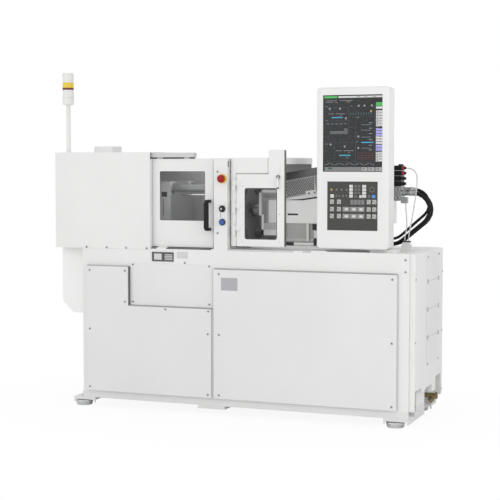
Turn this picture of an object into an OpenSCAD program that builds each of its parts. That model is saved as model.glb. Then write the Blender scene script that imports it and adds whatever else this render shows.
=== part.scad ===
// Compact injection molding machine: clamp at the left, injection unit and panel at the right

/* [Base] */
// Depth of the base cabinet
base_d = 580; // [540:1:640]
// Height of the deck above the floor
deck_z = 848; // [800:1:920]
// Deck length beyond the injection carriage
tail_l = 174; // [150:1:220]
// Clear height under the base
foot_h = 48; // [40:1:70]
// Height of the bottom rail
rail_h = 36; // [25:1:45]
// Thickness of the front doors
door_t = 19; // [12:1:25]
// Wall of a folded door or gate sheet
fold_t = 3; // [2:0.5:4]
// Margin of the left door at the left end
door_in = 32; // [20:1:45]
// Margin of the right door at the right end
door_end = 58; // [40:1:70]
// Where the two front doors meet
door_split = 748; // [700:1:800]
// Gap between the two front doors
door_gap = 14; // [6:1:20]
// Height of the plain band above the doors
band_h = 102; // [90:1:130]
// Left edge of the upper front panel
notch_x = 280; // [240:1:330]
// Lower edge of the upper front panel
notch_z = 548; // [500:1:600]
// Gap round doors and panels
panel_gap = 5; // [3:1:8]
// How far the upper front panel rises past the doors
panel_over = 20; // [10:1:30]
// Thickness of the screwed plates
plate_t = 3; // [2:0.5:5]
// Margin of the back panels
back_in = 30; // [20:1:50]

/* [Outlet] */
// Left edge of the outlet plate
outlet_x = 405; // [360:1:450]
// Width of the outlet plate
outlet_w = 122; // [100:1:140]
// Height of the outlet plate
outlet_h = 48; // [40:1:56]
// Rim of the outlet plate
outlet_rim = 6; // [4:1:8]
// Gap between the upper front panel and the outlet plate
outlet_gap = 12; // [8:1:18]

/* [Right end] */
// Thickness of the right end cover
end_t = 28; // [20:1:40]
// Set-back of the right end cover
end_in = 8; // [4:1:15]
// Depth of the water recess
recess_d = 85; // [80:1:110]
// Height of the water recess
recess_h = 112; // [105:1:130]
// Margin of the water recess at the back
recess_in = 25; // [20:1:40]
// Distance of the first cut-out from the front
cut_in = 15; // [10:1:20]
// Width of the first cut-out
cut_a_w = 132; // [120:1:140]
// Web between the first and second cut-out
web_a_w = 92; // [80:1:100]
// Width of the second cut-out
cut_b_w = 126; // [110:1:135]
// Web between the second and third cut-out
web_b_w = 75; // [60:1:80]
// Step between the heights of the cut-outs
web_h = 46; // [36:1:50]
// Width of the end plates
end_plate_w = 254; // [220:1:280]
// Height of one end plate with its joint
end_plate_h = 140; // [120:1:150]
// Margin of the end plates at the back
end_plate_in = 94; // [80:1:120]
// Joint between end plates
joint_w = 2; // [1:0.5:4]
// Radius of the strainer body
strainer_r = 13; // [11:0.5:14]

/* [Feet] */
// Radius of a foot pad
pad_r = 46; // [38:1:48]
// Height of the bracket lugs above the floor
lug_z = 20; // [16:1:26]
// Thickness of the foot brackets
bracket_t = 15; // [10:1:18]
// Width of the foot brackets
bracket_w = 125; // [110:1:150]
// Depth of the foot brackets
bracket_d = 110; // [100:1:130]
// How far the left brackets reach past the base
bracket_out = 56; // [40:1:60]
// Thickness of the lifting pads
lift_t = 17; // [12:1:20]
// Width of the lifting pads
lift_w = 150; // [120:1:180]

/* [Clamp] */
// How far the clamp housing hangs past the base
overhang = 157; // [130:1:180]
// Right edge of the clamp housing
housing_x = 396; // [380:1:410]
// Height of the clamp housing
housing_h = 490; // [480:1:520]
// Sheet thickness of covers
sheet_t = 3; // [2:0.5:4]
// How far the front cover hangs below the deck
skirt_h = 10; // [6:1:14]
// Height of the lower end cover
chute_h = 361; // [320:1:400]
// Side of the chamfer on the lower end cover
chute_c = 62; // [40:1:80]
// Set-back of the lower end cover
chute_in = 60; // [40:1:80]
// Distance of the machine axis from the front
axis_y = 300; // [290:1:310]
// Height of the machine axis above the deck
axis_h = 187; // [180:1:195]
// Half distance between tie bars
bar_pitch = 115; // [108:1:120]
// Radius of a tie bar
bar_r = 20; // [16:0.5:22]
// Width of a tie bar nut past its bar
nut_w = 12; // [8:1:15]
// Length of a tie bar nut
nut_l = 26; // [20:1:30]
// Platen edge outside the tie bars
platen_edge = 15; // [10:1:20]
// Thickness of the moving platen
moving_t = 60; // [50:1:70]
// Opened position of the moving platen past the housing
moving_x = 44; // [30:1:60]
// Thickness of the fixed platen
fixed_t = 73; // [60:1:80]
// Left face of the rear platen
rear_x = 60; // [40:1:80]
// Thickness of the rear platen
rear_t = 70; // [60:1:80]
// Radius of the clamp ram
ram_r = 58; // [50:1:62]
// Wall of the clamp cylinder
cylinder_t = 34; // [25:1:40]
// Running clearance on a radius
run_gap = 0.05; // [0.02:0.01:0.1]
// Pitch of the mold bolt holes
mold_pitch = 35; // [30:1:40]
// Radius of a mold bolt hole
mold_r = 5; // [4:0.5:6]
// Depth of a mold bolt hole
mold_d = 18; // [12:1:24]
// Left edge of the box on the roof
roof_box_x = -6; // [-20:1:20]
// Distance of the box on the roof from the front
roof_box_y = 150; // [120:1:180]
// Side of the box on the roof
roof_box_w = 109; // [90:1:120]
// Height of the box on the roof
roof_box_h = 33; // [25:1:45]

/* [Signal tower] */
// Radius of the tower
tower_r = 30; // [25:1:35]
// Distance of the pole from the end of the housing
tower_x = 52; // [40:1:60]
// Distance of the pole from the front
tower_y = 50; // [40:1:60]
// Radius of the pole
pole_r = 12; // [9:0.5:14]
// Length of the pole
pole_h = 250; // [220:1:280]
// Height of the tower base
tower_base_h = 79; // [60:1:90]
// Height of the lens
lens_h = 38; // [30:1:50]
// Height of the cap
cap_h = 51; // [40:1:60]
// Depth of the grooves on the tower
groove_d = 2; // [1:0.5:3]

/* [Safety gate] */
// Front face of the gate behind the housing front
gate_y = 28; // [27:1:32]
// Thickness of the gate
gate_t = 20; // [18:1:22]
// Width of the gate
gate_w = 345; // [340:1:348]
// Distance of the gate top below the roof
gate_drop = 34; // [30:1:40]
// Gap between the gate and the operator post
gate_gap = 15; // [8:1:20]
// Way the gate slides
gate_travel = 300; // [280:1:310]
// Margin of the gate window at the left
gate_win_l = 48; // [40:1:60]
// Margin of the gate window at the right
gate_win_r = 45; // [40:1:60]
// Height of the gate below its window
gate_win_b = 136; // [120:1:150]
// Height of the gate above its window
gate_win_t = 64; // [50:1:80]
// Corner radius of the gate window
gate_win_c = 5; // [3:1:10]
// Overlap of a pane behind its sheet
pane_lap = 12; // [8:1:15]
// Thickness of a pane
pane_t = 5; // [4:1:6]
// Height of the floor track
track_h = 4; // [3:0.5:6]
// Seating gap under sliding pieces
seat_gap = 0.3; // [0.2:0.05:0.4]
// Gap between the gate and the top rail
top_rail_gap = 7; // [6:1:9]
// Wall of the top rail
top_rail_t = 4; // [3:0.5:6]
// Part of the gate that the top rail leaves open
top_rail_in = 103; // [80:1:115]
// Width of a gate guide
guide_w = 30; // [20:1:40]
// Length of the gate handle
handle_h = 157; // [140:1:170]
// How far the gate handle stands out
handle_out = 55; // [42:1:55]
// Width of the gate handle
handle_w = 18; // [14:1:20]
// Thickness of the gate handle
handle_t = 15; // [12:1:18]
// Height of the gate handle above the gate's lower edge
handle_z = 87; // [70:1:100]
// Distance of the gate handle from the gate's right edge
handle_in = 9; // [6:1:18]
// Working clearance of moving pieces
move_gap = 5; // [5:0.5:6]

/* [Operator post] */
// Left edge of the operator post
post_x = 750; // [740:1:770]
// Width of the operator post
post_w = 73; // [70:1:80]
// Gap between the operator post and the fixed platen
post_gap = 30; // [20:1:40]
// Distance of the post top below the roof
post_drop = 35; // [30:1:45]
// Distance of the buttons from the left edge of the post
button_x = 47; // [40:1:48]
// Height of the emergency stop above the deck
stop_h = 355; // [330:1:370]
// Height of the selector above the deck
selector_h = 204; // [190:1:220]
// Height of the push button above the deck
push_h = 137; // [120:1:150]
// Radius of the emergency stop head
stop_r = 20; // [16:0.5:21]
// How far the emergency stop stands out
stop_out = 28; // [24:1:34]
// Way the emergency stop is pressed
stop_travel = 5; // [4:0.5:6]
// Radius of the emergency stop stem
stem_r = 11; // [9:0.5:12]
// Thickness of the emergency stop collar
collar_t = 7; // [5:1:9]
// Radius of the small buttons
button_r = 14; // [11:0.5:15]
// Step between a button and its stem
button_step = 4; // [3:0.5:5]
// Thickness of the button bezels
bezel_t = 6; // [4:1:8]
// Floor of the button bezels
bezel_floor = 2; // [1.5:0.5:3]
// Rim of collars and bezels
bezel_w = 3; // [2:0.5:4]
// Way the push button is pressed
push_travel = 4; // [3:0.5:5]
// Length of a button stem in the post
stem_l = 20; // [15:1:25]
// Gap round moving buttons
button_gap = 0.5; // [0.3:0.1:0.8]

/* [Nozzle guard] */
// Width of the door front
purge_w = 254; // [240:1:260]
// Distance of the nozzle guard top below the roof
frame_drop = 30; // [25:1:40]
// Height of the fixed plate above the door
purge_top_h = 77; // [70:1:85]
// Width of the tab at the right of the door
purge_tab_w = 83; // [70:1:90]
// Height of the tab above the fixed plate
purge_tab_h = 39; // [30:1:45]
// Distance of the door bottom from the deck
purge_z = 16; // [12:1:20]
// Depth of the door flanges
purge_d = 31; // [28:1:33]
// Margin of the door window at the left
purge_win_l = 43; // [35:1:50]
// Margin of the door window at the right
purge_win_r = 38; // [35:1:50]
// Height of the door below its window
purge_win_b = 36; // [30:1:45]
// Height of the door above its window
purge_win_t = 69; // [60:1:80]
// Corner radius of the door window
purge_win_c = 12; // [8:1:16]
// Distance of the hinge axis from the post
hinge_out = 32; // [28:1:36]
// Distance of the hinge axis behind the machine front
hinge_y = 10; // [9:0.5:12]
// Distance of the door edge from the hinge axis
hinge_in = 11; // [10:0.5:14]
// Radius of a hinge knuckle
knuckle_r = 8; // [7:0.5:9]
// Radius of a hinge pin
pin_r = 4; // [3:0.5:5]
// Height of a hinge
hinge_h = 50; // [40:1:60]
// Height of the lowest hinge above the deck
hinge_z = 70; // [60:1:80]
// Distance of the highest hinge below the door top
hinge_top = 32; // [25:1:40]
// Width of a hinge leaf on the door
leaf_w = 30; // [24:1:36]
// Thickness of a hinge leaf
leaf_t = 4; // [3:0.5:5]
// Length of the door latch
latch_h = 64; // [50:1:75]
// Width of the door latch
latch_w = 18; // [14:1:22]
// Distance of the door latch's lower end below the door top
latch_drop = 72; // [60:1:90]
// Distance of the latch from the right edge of the door
latch_in = 30; // [26:1:34]
// Bend radius of the fixed strip beside the door
strip_r = 20; // [16:1:21]
// Height of the guard frame's lips
lip_h = 32; // [25:1:40]

/* [Injection unit] */
// Distance of the injection bed from the post
bed_in = 57; // [50:1:70]
// Distance of the bed's end from the end of the carriage
bed_end = 90; // [80:1:110]
// Width of the injection bed
bed_w = 250; // [240:1:260]
// Height of the bed with its rails
bed_h = 30; // [26:1:40]
// Width of a slide rail
slide_w = 30; // [24:1:36]
// Distance of the slide rails from the bed's edges
slide_in = 20; // [15:1:30]
// Distance of the carriage from the post
carriage_in = 150; // [140:1:165]
// Height of the carriage
carriage_h = 117; // [105:1:120]
// Length of the carriage
carriage_l = 617; // [600:1:630]
// Width of the carriage
carriage_w = 220; // [210:1:230]
// Length of the carriage's slot
slot_w = 57; // [45:1:65]
// Height of the carriage's slot
slot_h = 9; // [6:1:12]
// Set-back of the saddle under the carriage
saddle_in = 40; // [30:1:60]
// Depth of the saddle's ribs
rib_d = 10; // [6:1:15]
// Width of the saddle's ribs
rib_w = 14; // [10:1:20]
// Pitch of the saddle's ribs
rib_pitch = 125; // [100:1:140]
// Radius of the injection barrel
barrel_r = 32; // [26:1:36]
// Length of a heater band
heater_l = 42; // [36:1:46]
// Thickness of a heater band
heater_t = 5; // [4:1:6]
// Length of the barrel guard before the carriage
nozzle_guard_l = 52; // [40:1:60]
// Depth of the barrel guard below the carriage
nozzle_guard_over = 30; // [20:1:40]
// Height of the barrel guard above the carriage
nozzle_guard_top = 54; // [40:1:60]
// Start of the plasticizing unit on the carriage
plast_in = 92; // [80:1:110]
// Distance of the plasticizing unit from the end of the carriage
plast_end = 77; // [70:1:100]
// Slope of the plasticizing unit in degrees
slope = 10; // [8:0.5:14]
// Width of the plasticizing guard
plast_w = 190; // [170:1:200]
// Height of the plasticizing guard
plast_h = 128; // [100:1:135]
// Chamfer of the plasticizing guard
plast_c = 40; // [30:1:50]
// Thickness of the plasticizing tray
tray_t = 10; // [8:1:14]
// Rim of the plasticizing tray round its guard
tray_rim = 10; // [6:1:15]
// Length of the plasticizing drive
drive_l = 120; // [100:1:140]
// Width of the strut under the tray
strut_w = 60; // [40:1:80]

/* [Control panel] */
// Gap between the nozzle guard and the control panel
panel_in = 172; // [160:1:190]
// Width of the control panel
panel_w = 363; // [350:1:375]
// Height of the control panel
panel_h = 785; // [760:1:800]
// Depth of the control panel
panel_d = 100; // [80:1:105]
// Front of the control panel behind the machine front
panel_y = 10; // [5:1:15]
// Height of the control panel above the deck
panel_up = 15; // [15:1:25]
// Corner radius of the control panel
panel_r = 18; // [14:1:22]
// Rounding of the control panel's front edge
panel_c = 7; // [4:1:10]
// Margin of the screen at the left
screen_l = 32; // [20:1:40]
// Margin of the screen at the right
screen_r = 32; // [20:1:40]
// Margin of the screen at the top
screen_t = 38; // [30:1:50]
// Distance between screen and keypad
screen_gap = 47; // [40:1:60]
// Margin of the keypad at the left
keypad_l = 55; // [40:1:60]
// Margin of the keypad at the right
keypad_r = 54; // [40:1:60]
// Height of the keypad
keypad_h = 238; // [220:1:250]
// Margin of the keypad at the bottom
keypad_b = 91; // [75:1:100]
// Sunk border round the keypad
border_w = 16; // [10:1:20]
// Depth of the sunk border
border_d = 1.5; // [1:0.5:2]
// Depth of the screen and keypad recesses
recess_t = 4; // [3.5:0.5:6]
// Thickness of the screen and the keypad
sheet_in = 3; // [2:0.5:3]
// Radius of the cable entry on the back of the panel
entry_r = 24; // [18:1:28]
// Width of the panel's stand
stand_w = 50; // [40:1:60]
// Depth of the panel's stand
stand_d = 40; // [30:1:45]
// Height of the stand's foot
stand_foot = 14; // [10:1:16]

/* [Hydraulics] */
// Radius of a large hose
hose_r = 10; // [8:0.5:11]
// Radius of the small hose
small_hose_r = 7; // [5:0.5:8]
// Radius of an air tube
tube_r = 3; // [2:0.5:4]
// Height of the hose manifold
manifold_h = 73; // [65:1:85]
// Width of the hose manifold
manifold_w = 80; // [72:1:90]
// How far the manifold overlaps the carriage
manifold_in = 45; // [35:1:55]
// How far the manifold reaches past the carriage
manifold_out = 60; // [55:1:70]
// Length of the hose fittings
fitting_l = 55; // [45:1:60]
// Wall of the hose fittings
fitting_t = 3; // [2:0.5:4]
// Pitch of the valves
valve_pitch = 26; // [24:1:30]
// Height of a valve
valve_h = 25; // [20:1:25]
// Radius of a valve's knob
knob_r = 7; // [5:0.5:8]
// Length of a valve's knob
knob_l = 18; // [14:1:22]
// Height of the hose ports
port_h = 70; // [62:1:80]
// Length of a hose port's stub
stub_l = 20; // [15:1:25]
// Height of the junction box
junction_h = 30; // [26:1:36]
// Height of the tube connector on the junction box
connector_h = 14; // [12:1:16]

/* [Hidden] */
$fn = 48;
cut = 1;

rail_z = foot_h + rail_h;
door_z = rail_z + panel_gap;
door_top = deck_z - band_h;
upper_top = door_top + panel_over;
roof_z = deck_z + housing_h;
axis_z = deck_z + axis_h;
left_x = -overhang;
platen_h = bar_pitch + bar_r + platen_edge;
bar_y = [axis_y - bar_pitch, axis_y + bar_pitch];
bar_z = [axis_z - bar_pitch, axis_z + bar_pitch];
post_d = axis_y - platen_h - post_gap;
post_r = post_x + post_w;
post_t = roof_z - post_drop;
gate_r = post_x - gate_gap;
gate_l = gate_r - gate_w;
gate_z = deck_z + track_h + seat_gap;
gate_top = roof_z - gate_drop;
gate_back = gate_y + gate_t;
gate_rail_z = gate_top + top_rail_gap;
top_rail_h = roof_z - sheet_t - gate_rail_z;
win_x = [gate_l + gate_win_l, gate_r - gate_win_r];
win_z = [gate_z + gate_win_b, gate_top - gate_win_t];
hinge_x = post_r + hinge_out;
hinge_clear = 2;
purge_y = hinge_y + knuckle_r + hinge_clear;
purge_l = hinge_x + hinge_in;
purge_r = purge_l + purge_w;
purge_b = deck_z + purge_z;
purge_tab = purge_r - purge_tab_w;
frame_t = roof_z - frame_drop;
purge_t = frame_t - purge_top_h - move_gap;
purge_h = purge_t - purge_b;
frame_y = purge_y + purge_d + move_gap;
strip_y = purge_y + move_gap;
hinge_pitch = (purge_t - hinge_top - hinge_h - deck_z - hinge_z) / 2;
tab_t = frame_t + purge_tab_h;
pane_x = [purge_l + purge_win_l, purge_r - purge_win_r];
pane_z = [purge_b + purge_win_b, purge_t - purge_win_t];
moving_r = housing_x + moving_x;
moving_l = moving_r - moving_t;
fixed_r = post_x + fixed_t;
ram_l = left_x + overhang * 0.4;
rear_r = rear_x + rear_t;
carriage_x = post_r + carriage_in;
carriage_z = axis_z - carriage_h / 2;
carriage_t = carriage_z + carriage_h;
carriage_r = carriage_x + carriage_l;
carriage_f = axis_y - carriage_w / 2;
carriage_b = axis_y + carriage_w / 2;
frame_b = bar_y[1] + bar_r + nut_w + move_gap + sheet_t;
bed_x = post_r + bed_in;
bed_r = carriage_r - bed_end;
bed_z = deck_z + bed_h;
plast_x = carriage_x + plast_in;
plast_l = (carriage_l - plast_in - plast_end) / cos(slope);
manifold_l = carriage_r - manifold_in;
manifold_r = carriage_r + manifold_out;
manifold_f = axis_y - manifold_w / 2 + 2;
manifold_b = manifold_f + manifold_w;
manifold_t = carriage_t + manifold_h;
fitting_r = manifold_r + fitting_l;
port_r = carriage_r - 10;
port_l = bed_r + panel_gap - 1;
base_l = carriage_r + tail_l;
end_x = base_l + end_t;
cut_y = [cut_in, cut_in + cut_a_w, cut_in + cut_a_w + web_a_w, cut_in + cut_a_w + web_a_w + cut_b_w,
  cut_in + cut_a_w + web_a_w + cut_b_w + web_b_w, base_d - recess_in];
recess_f = cut_y[3] - cut_b_w / 3;
strainer_y = cut_y[4] + 2.3 * strainer_r;
panel_x = purge_r + panel_in;
panel_e = panel_x + panel_w;
panel_z = deck_z + panel_up;
panel_t = panel_z + panel_h;
keypad_x = [panel_x + keypad_l, panel_e - keypad_r];
keypad_z = [panel_z + keypad_b, panel_z + keypad_b + keypad_h];
screen_x = [panel_x + screen_l, panel_e - screen_r];
screen_z = [keypad_z[1] + screen_gap, panel_t - screen_t];
stop_z = deck_z + stop_h;
selector_z = deck_z + selector_h;
push_z = deck_z + push_h;
button_cx = post_x + button_x;
tower_cx = left_x + tower_x;
tower_z = roof_z + pole_h;
foot_x = [bracket_w * 0.3 - bracket_out, base_l - bracket_w * 0.6];
foot_y = [bracket_d * 0.41, base_d - bracket_d * 0.41];
foot_t = foot_h - bracket_t;
right_x = end_x + plate_t;
front_y = -stop_out;
back_y = base_d + plate_t;

// Hose and tube routes, chosen by hand: X and Y as drawn, third value above the deck
front_path = [[1705, 282, 284], [1710, 282, 284], [1735, 282, 280], [1758, 282, 268], [1776, 282, 250],
  [1788, 282, 227], [1792, 282, 202], [1788, 282, 177], [1776, 282, 154], [1762, 282, 138],
  [1706, 282, 92], [1650, 282, 46], [1634, 282, 36], [1616, 282, 30], [1598, 282, 28], [1580, 282, 28]];
small_path = [[1705, 302, 302], [1712, 302, 302], [1733, 302, 299], [1753, 302, 289], [1769, 302, 274],
  [1779, 302, 255], [1784, 302, 234], [1782, 302, 213], [1774, 302, 193], [1760, 302, 176],
  [1701, 302, 124], [1642, 302, 72], [1627, 302, 62], [1611, 302, 56], [1594, 302, 54], [1580, 302, 54]];
valve_path = [[1668, 292, 408], [1680, 292, 408], [1696, 291, 404], [1710, 289, 396], [1720, 286, 384],
  [1726, 282, 368], [1728, 278, 345], [1728, 272, 315], [1726, 266, 280], [1722, 259, 240],
  [1717, 252, 198], [1711, 246, 155], [1704, 241, 112], [1698, 238, 72], [1698, 238, 46]];
drop_path = [[1672, 276, 234], [1672, 276, 220], [1673, 275, 206], [1674, 274, 192], [1676, 272, 178],
  [1678, 269, 164], [1680, 265, 150], [1682, 260, 136], [1683, 255, 122], [1683, 250, 107],
  [1682, 245, 92], [1680, 241, 78], [1678, 238, 66], [1678, 238, 56], [1678, 238, 46]];
route_x = 1705;
route_y = 300;
route_h = 284;
route_k = (axis_h + 97) / route_h;
rear_step = 40;

function routed(path) = [for (p = path)
  [p[0] + fitting_r - route_x, p[1] + axis_y - route_y, deck_z + p[2] * route_k]];
function rear_path() = [for (p = front_path) p + [0, rear_step, 0]];
function last(path) = path[len(path) - 1];
function dome(r, h0, h1) = [for (a = [0:15:90]) [r * cos(a), h0 + (h1 - h0) * sin(a)]];
function hinge_levels() = [for (k = [0:2]) deck_z + hinge_z + k * hinge_pitch];

module slab(a, b) {
  translate(a) cube([b[0] - a[0], b[1] - a[1], b[2] - a[2]]);
}

module rod_x(r, x0, x1, y, z) {
  translate([x0, y, z]) rotate([0, 90, 0]) cylinder(h = x1 - x0, r = r);
}

module hex_x(r, x0, x1, y, z) {
  translate([x0, y, z]) rotate([0, 90, 0]) cylinder(h = x1 - x0, r = r, $fn = 6);
}

module rod_y(r, x, y0, y1, z) {
  translate([x, y0, z]) rotate([-90, 0, 0]) cylinder(h = y1 - y0, r = r);
}

module rod_z(r, x, y, z0, z1) {
  translate([x, y, z0]) cylinder(h = z1 - z0, r = r);
}

// Flat outline in X and Z, drawn out from y0 to y1
module plate_xz(y0, y1) {
  translate([0, y1, 0]) rotate([90, 0, 0]) linear_extrude(height = y1 - y0) children();
}

// Flat outline in Y and Z, drawn out from x0 to x1
module plate_yz(x0, x1) {
  translate([x0, 0, 0]) rotate([90, 0, 90]) linear_extrude(height = x1 - x0) children();
}

module round_rect(x, z, r) {
  translate([x[0] + r, z[0]]) square([x[1] - x[0] - 2 * r, z[1] - z[0]]);
  translate([x[0], z[0] + r]) square([x[1] - x[0], z[1] - z[0] - 2 * r]);
  for (u = [x[0] + r, x[1] - r], v = [z[0] + r, z[1] - r]) translate([u, v]) circle(r = r);
}

// Turned piece about an axis along Y, heights measured to the front
module turned_y(x, y, z, profile) {
  translate([x, y, z]) rotate([90, 0, 0]) rotate_extrude() polygon(profile);
}

// One tube along a hand-chosen route
module sweep(path, r, sides = 12) {
  n = len(path);
  function unit(v) = v / norm(v);
  function heading(i) = unit(path[min(i + 1, n - 1)] - path[max(i - 1, 0)]);
  across = [for (i = [0:n - 1]) unit(cross(heading(i), [0.1, 1, 0.05]))];
  rim = [for (i = [0:n - 1]) for (k = [0:sides - 1])
    let (u = across[i], v = cross(heading(i), u), a = 360 * k / sides)
    path[i] + r * (cos(a) * u + sin(a) * v)];
  walls = [for (i = [0:n - 2]) for (k = [0:sides - 1])
    let (a = i * sides + k, b = i * sides + (k + 1) % sides)
    each [[b + sides, b, a], [a + sides, b + sides, a]]];
  ends = [[for (k = [0:sides - 1]) k], [for (k = [sides - 1:-1:0]) (n - 1) * sides + k]];
  polyhedron(points = rim, faces = concat(walls, ends));
}

module place() {
  translate([-(left_x + right_x) / 2, -(front_y + back_y) / 2, 0]) children();
}

module bottom_rail() {
  color("gainsboro") place() difference() {
    slab([0, 0, foot_h], [base_l, base_d, rail_z]);
    slab([base_l - recess_d, recess_f, foot_h - cut], [base_l + cut, cut_y[5], rail_z + cut]);
  }
}

module base_cabinet() {
  color("white") place() difference() {
    slab([0, 0, rail_z], [base_l, base_d, deck_z]);
    slab([base_l - recess_d, recess_f, rail_z - cut], [base_l + cut, cut_y[5], rail_z + recess_h]);
  }
}

module left_front_door() {
  x1 = door_split - door_gap / 2;
  outline = [[door_in, door_z], [x1, door_z], [x1, notch_z - panel_gap],
    [notch_x - panel_gap, notch_z - panel_gap], [notch_x - panel_gap, door_top], [door_in, door_top]];
  color("white") place() {
    plate_xz(-door_t, -door_t + fold_t) polygon(outline);
    plate_xz(-door_t + fold_t, 0) difference() {
      polygon(outline);
      offset(delta = -fold_t) polygon(outline);
    }
  }
}

module right_front_door() {
  x = [door_split + door_gap / 2, base_l - door_end];
  color("white") place() difference() {
    slab([x[0], -door_t, door_z], [x[1], 0, door_top]);
    slab([x[0] + fold_t, -door_t + fold_t, door_z + fold_t], [x[1] - fold_t, cut, door_top - fold_t]);
  }
}

module screwed_panels() {
  y1 = base_d - end_plate_in;
  color("white") place() {
    slab([notch_x, -plate_t, notch_z], [door_split - door_gap / 2, 0, upper_top]);
    for (k = [0:3]) slab([end_x, y1 - end_plate_w, deck_z - end_in - (k + 1) * end_plate_h],
      [end_x + plate_t, y1, deck_z - end_in - joint_w - k * end_plate_h]);
    for (s = [[back_in, (base_l - door_gap) / 2], [(base_l + door_gap) / 2, base_l - back_in]])
      slab([s[0], base_d, door_z], [s[1], base_d + plate_t, door_top]);
  }
}

module outlet_plate() {
  z = upper_top + outlet_gap;
  w = (outlet_w - 3 * outlet_rim) / 2;
  color("dimgray") place() difference() {
    slab([outlet_x, -plate_t, z], [outlet_x + outlet_w, 0, z + outlet_h]);
    for (x = [outlet_x + outlet_rim, outlet_x + w + 2 * outlet_rim])
      slab([x, -plate_t - cut, z + outlet_rim], [x + w, -plate_t / 2, z + outlet_h - outlet_rim]);
  }
}

module right_end_cover() {
  h = rail_z + recess_h;
  z = [h - web_h * 0.3, h - web_h * 0.8, h - web_h * 0.6, h - web_h * 1.5, h];
  edge = [for (k = [0:4]) each [[cut_y[k], z[k]], [cut_y[k + 1], z[k]]]];
  color("white") place() plate_yz(base_l, end_x) polygon(concat([[end_in, rail_z], [cut_y[0], rail_z]],
    edge, [[cut_y[5], rail_z], [base_d, rail_z], [base_d, deck_z - joint_w], [end_in, deck_z - joint_w]]));
}

module water_strainer() {
  r = strainer_r;
  y = strainer_y;
  z = rail_z + r / 2;
  color("goldenrod") place() {
    rod_x(r, base_l - recess_d, end_x, y, z);
    hex_x(r * 1.4, end_x - r * 0.7, end_x + plate_t, y, z);
    hex_x(r * 1.4, base_l - recess_d * 0.9, base_l - recess_d * 0.65, y, z);
    translate([end_x - r * 0.55, y, z]) rotate([0, -135, 0]) {
      cylinder(h = r * 3, r = r * 0.85);
      translate([0, 0, r * 2.5]) cylinder(h = r * 0.8, r = r * 1.1, $fn = 6);
    }
  }
}

module foot_brackets() {
  lug = bracket_t / 2;
  lift_x = door_split - lift_w * 0.6;
  color("gainsboro") place() {
    for (y = [0, base_d - bracket_d], x = [-bracket_out, base_l - bracket_w]) {
      slab([x, y, foot_t], [x + bracket_w, y + bracket_d, foot_h]);
      for (u = [x, x + bracket_w - lug]) slab([u, y, lug_z], [u + lug, y + lug, foot_h]);
    }
    for (y = [0, base_d - bracket_d])
      slab([lift_x, y, foot_h - lift_t], [lift_x + lift_w, y + bracket_d, foot_h]);
    slab([base_l - lug, 0, lug_z], [base_l, recess_f, foot_h]);
  }
}

module levelling_feet() {
  profile = [[0, 0], [pad_r * 0.86, 0], [pad_r * 0.9, foot_t * 0.1], [pad_r, foot_t * 0.6],
    [pad_r, foot_t * 0.8], [pad_r * 0.7, foot_t], [0, foot_t]];
  color("silver") place() for (x = foot_x, y = foot_y)
    translate([x, y, 0]) rotate_extrude() polygon(profile);
}

module lower_end_cover() {
  b = deck_z - chute_h;
  x = left_x + joint_w;
  color("white") place() plate_xz(chute_in, base_d - chute_in) polygon([[0, b], [0, deck_z],
    [x, deck_z], [x, b + chute_c], [x + chute_c, b]]);
}

module clamp_front_cover() {
  color("white") place() {
    slab([left_x, -sheet_t, deck_z - skirt_h], [housing_x, 0, roof_z]);
    slab([housing_x - sheet_t, -0.01, deck_z], [housing_x, gate_y - move_gap, gate_rail_z - top_rail_gap]);
  }
}

module clamp_end_cover() {
  color("white") place() plate_xz(0, base_d - sheet_t) polygon([[left_x, deck_z], [0, deck_z],
    [0, deck_z + sheet_t], [left_x + sheet_t, deck_z + sheet_t], [left_x + sheet_t, roof_z],
    [left_x, roof_z]]);
}

module clamp_roof() {
  color("white") place() {
    slab([left_x + sheet_t, 0, roof_z - sheet_t], [housing_x, base_d - sheet_t, roof_z]);
    slab([roof_box_x, roof_box_y, roof_z - sheet_t],
      [roof_box_x + roof_box_w, roof_box_y + roof_box_w, roof_z + roof_box_h]);
  }
}

module rear_guard() {
  t = sheet_t;
  color("white") place() {
    plate_xz(base_d - t, base_d) polygon([[left_x, deck_z], [post_r, deck_z], [post_r, frame_t],
      [housing_x, frame_t], [housing_x, roof_z], [left_x, roof_z]]);
    slab([post_r - t, axis_y + platen_h + move_gap, deck_z], [post_r, base_d - t + 0.01, frame_t]);
  }
}

module signal_tower() {
  r = tower_r;
  g = r - groove_d;
  h = tower_base_h;
  flange = pole_r * 1.3;
  base = [[0, 0], [flange, 0], [flange, groove_d], [pole_r, 2 * groove_d], [pole_r, pole_h - groove_d],
    [r * 0.7, pole_h], [r, pole_h + groove_d], [r, pole_h + h * 0.45], [g, pole_h + h * 0.45],
    [g, pole_h + h * 0.48], [r, pole_h + h * 0.48], [r, pole_h + h], [0, pole_h + h]];
  color("whitesmoke") place() translate([tower_cx, tower_y, roof_z]) rotate_extrude() {
    polygon(base);
    translate([0, pole_h + h + lens_h]) polygon(concat([[0, 0]], [[r, 0], [r, cap_h - groove_d]],
      [[g, cap_h], [0, cap_h]]));
  }
}

module signal_lens() {
  z = tower_z + tower_base_h;
  color("orange") place() rod_z(tower_r - groove_d / 4, tower_cx, tower_y, z, z + lens_h);
}

module gate_rails() {
  z = gate_rail_z;
  out = z + top_rail_h;
  front = gate_y - 3 * top_rail_t;
  lip = gate_back + 2 * top_rail_t;
  end = gate_r - top_rail_in;
  color("gray") place() {
    plate_yz(gate_l - gate_travel, end) polygon([[front, z], [gate_y, z], [gate_y, out - top_rail_t],
      [gate_back, out - top_rail_t], [gate_back, z], [lip, z], [lip, out], [front, out]]);
    slab([end - top_rail_t, gate_y - cut, z], [end, gate_back + cut, out - top_rail_t + cut]);
    slab([gate_l - gate_travel, gate_y + fold_t, deck_z], [gate_r, gate_back - fold_t, deck_z + track_h]);
  }
}

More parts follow.
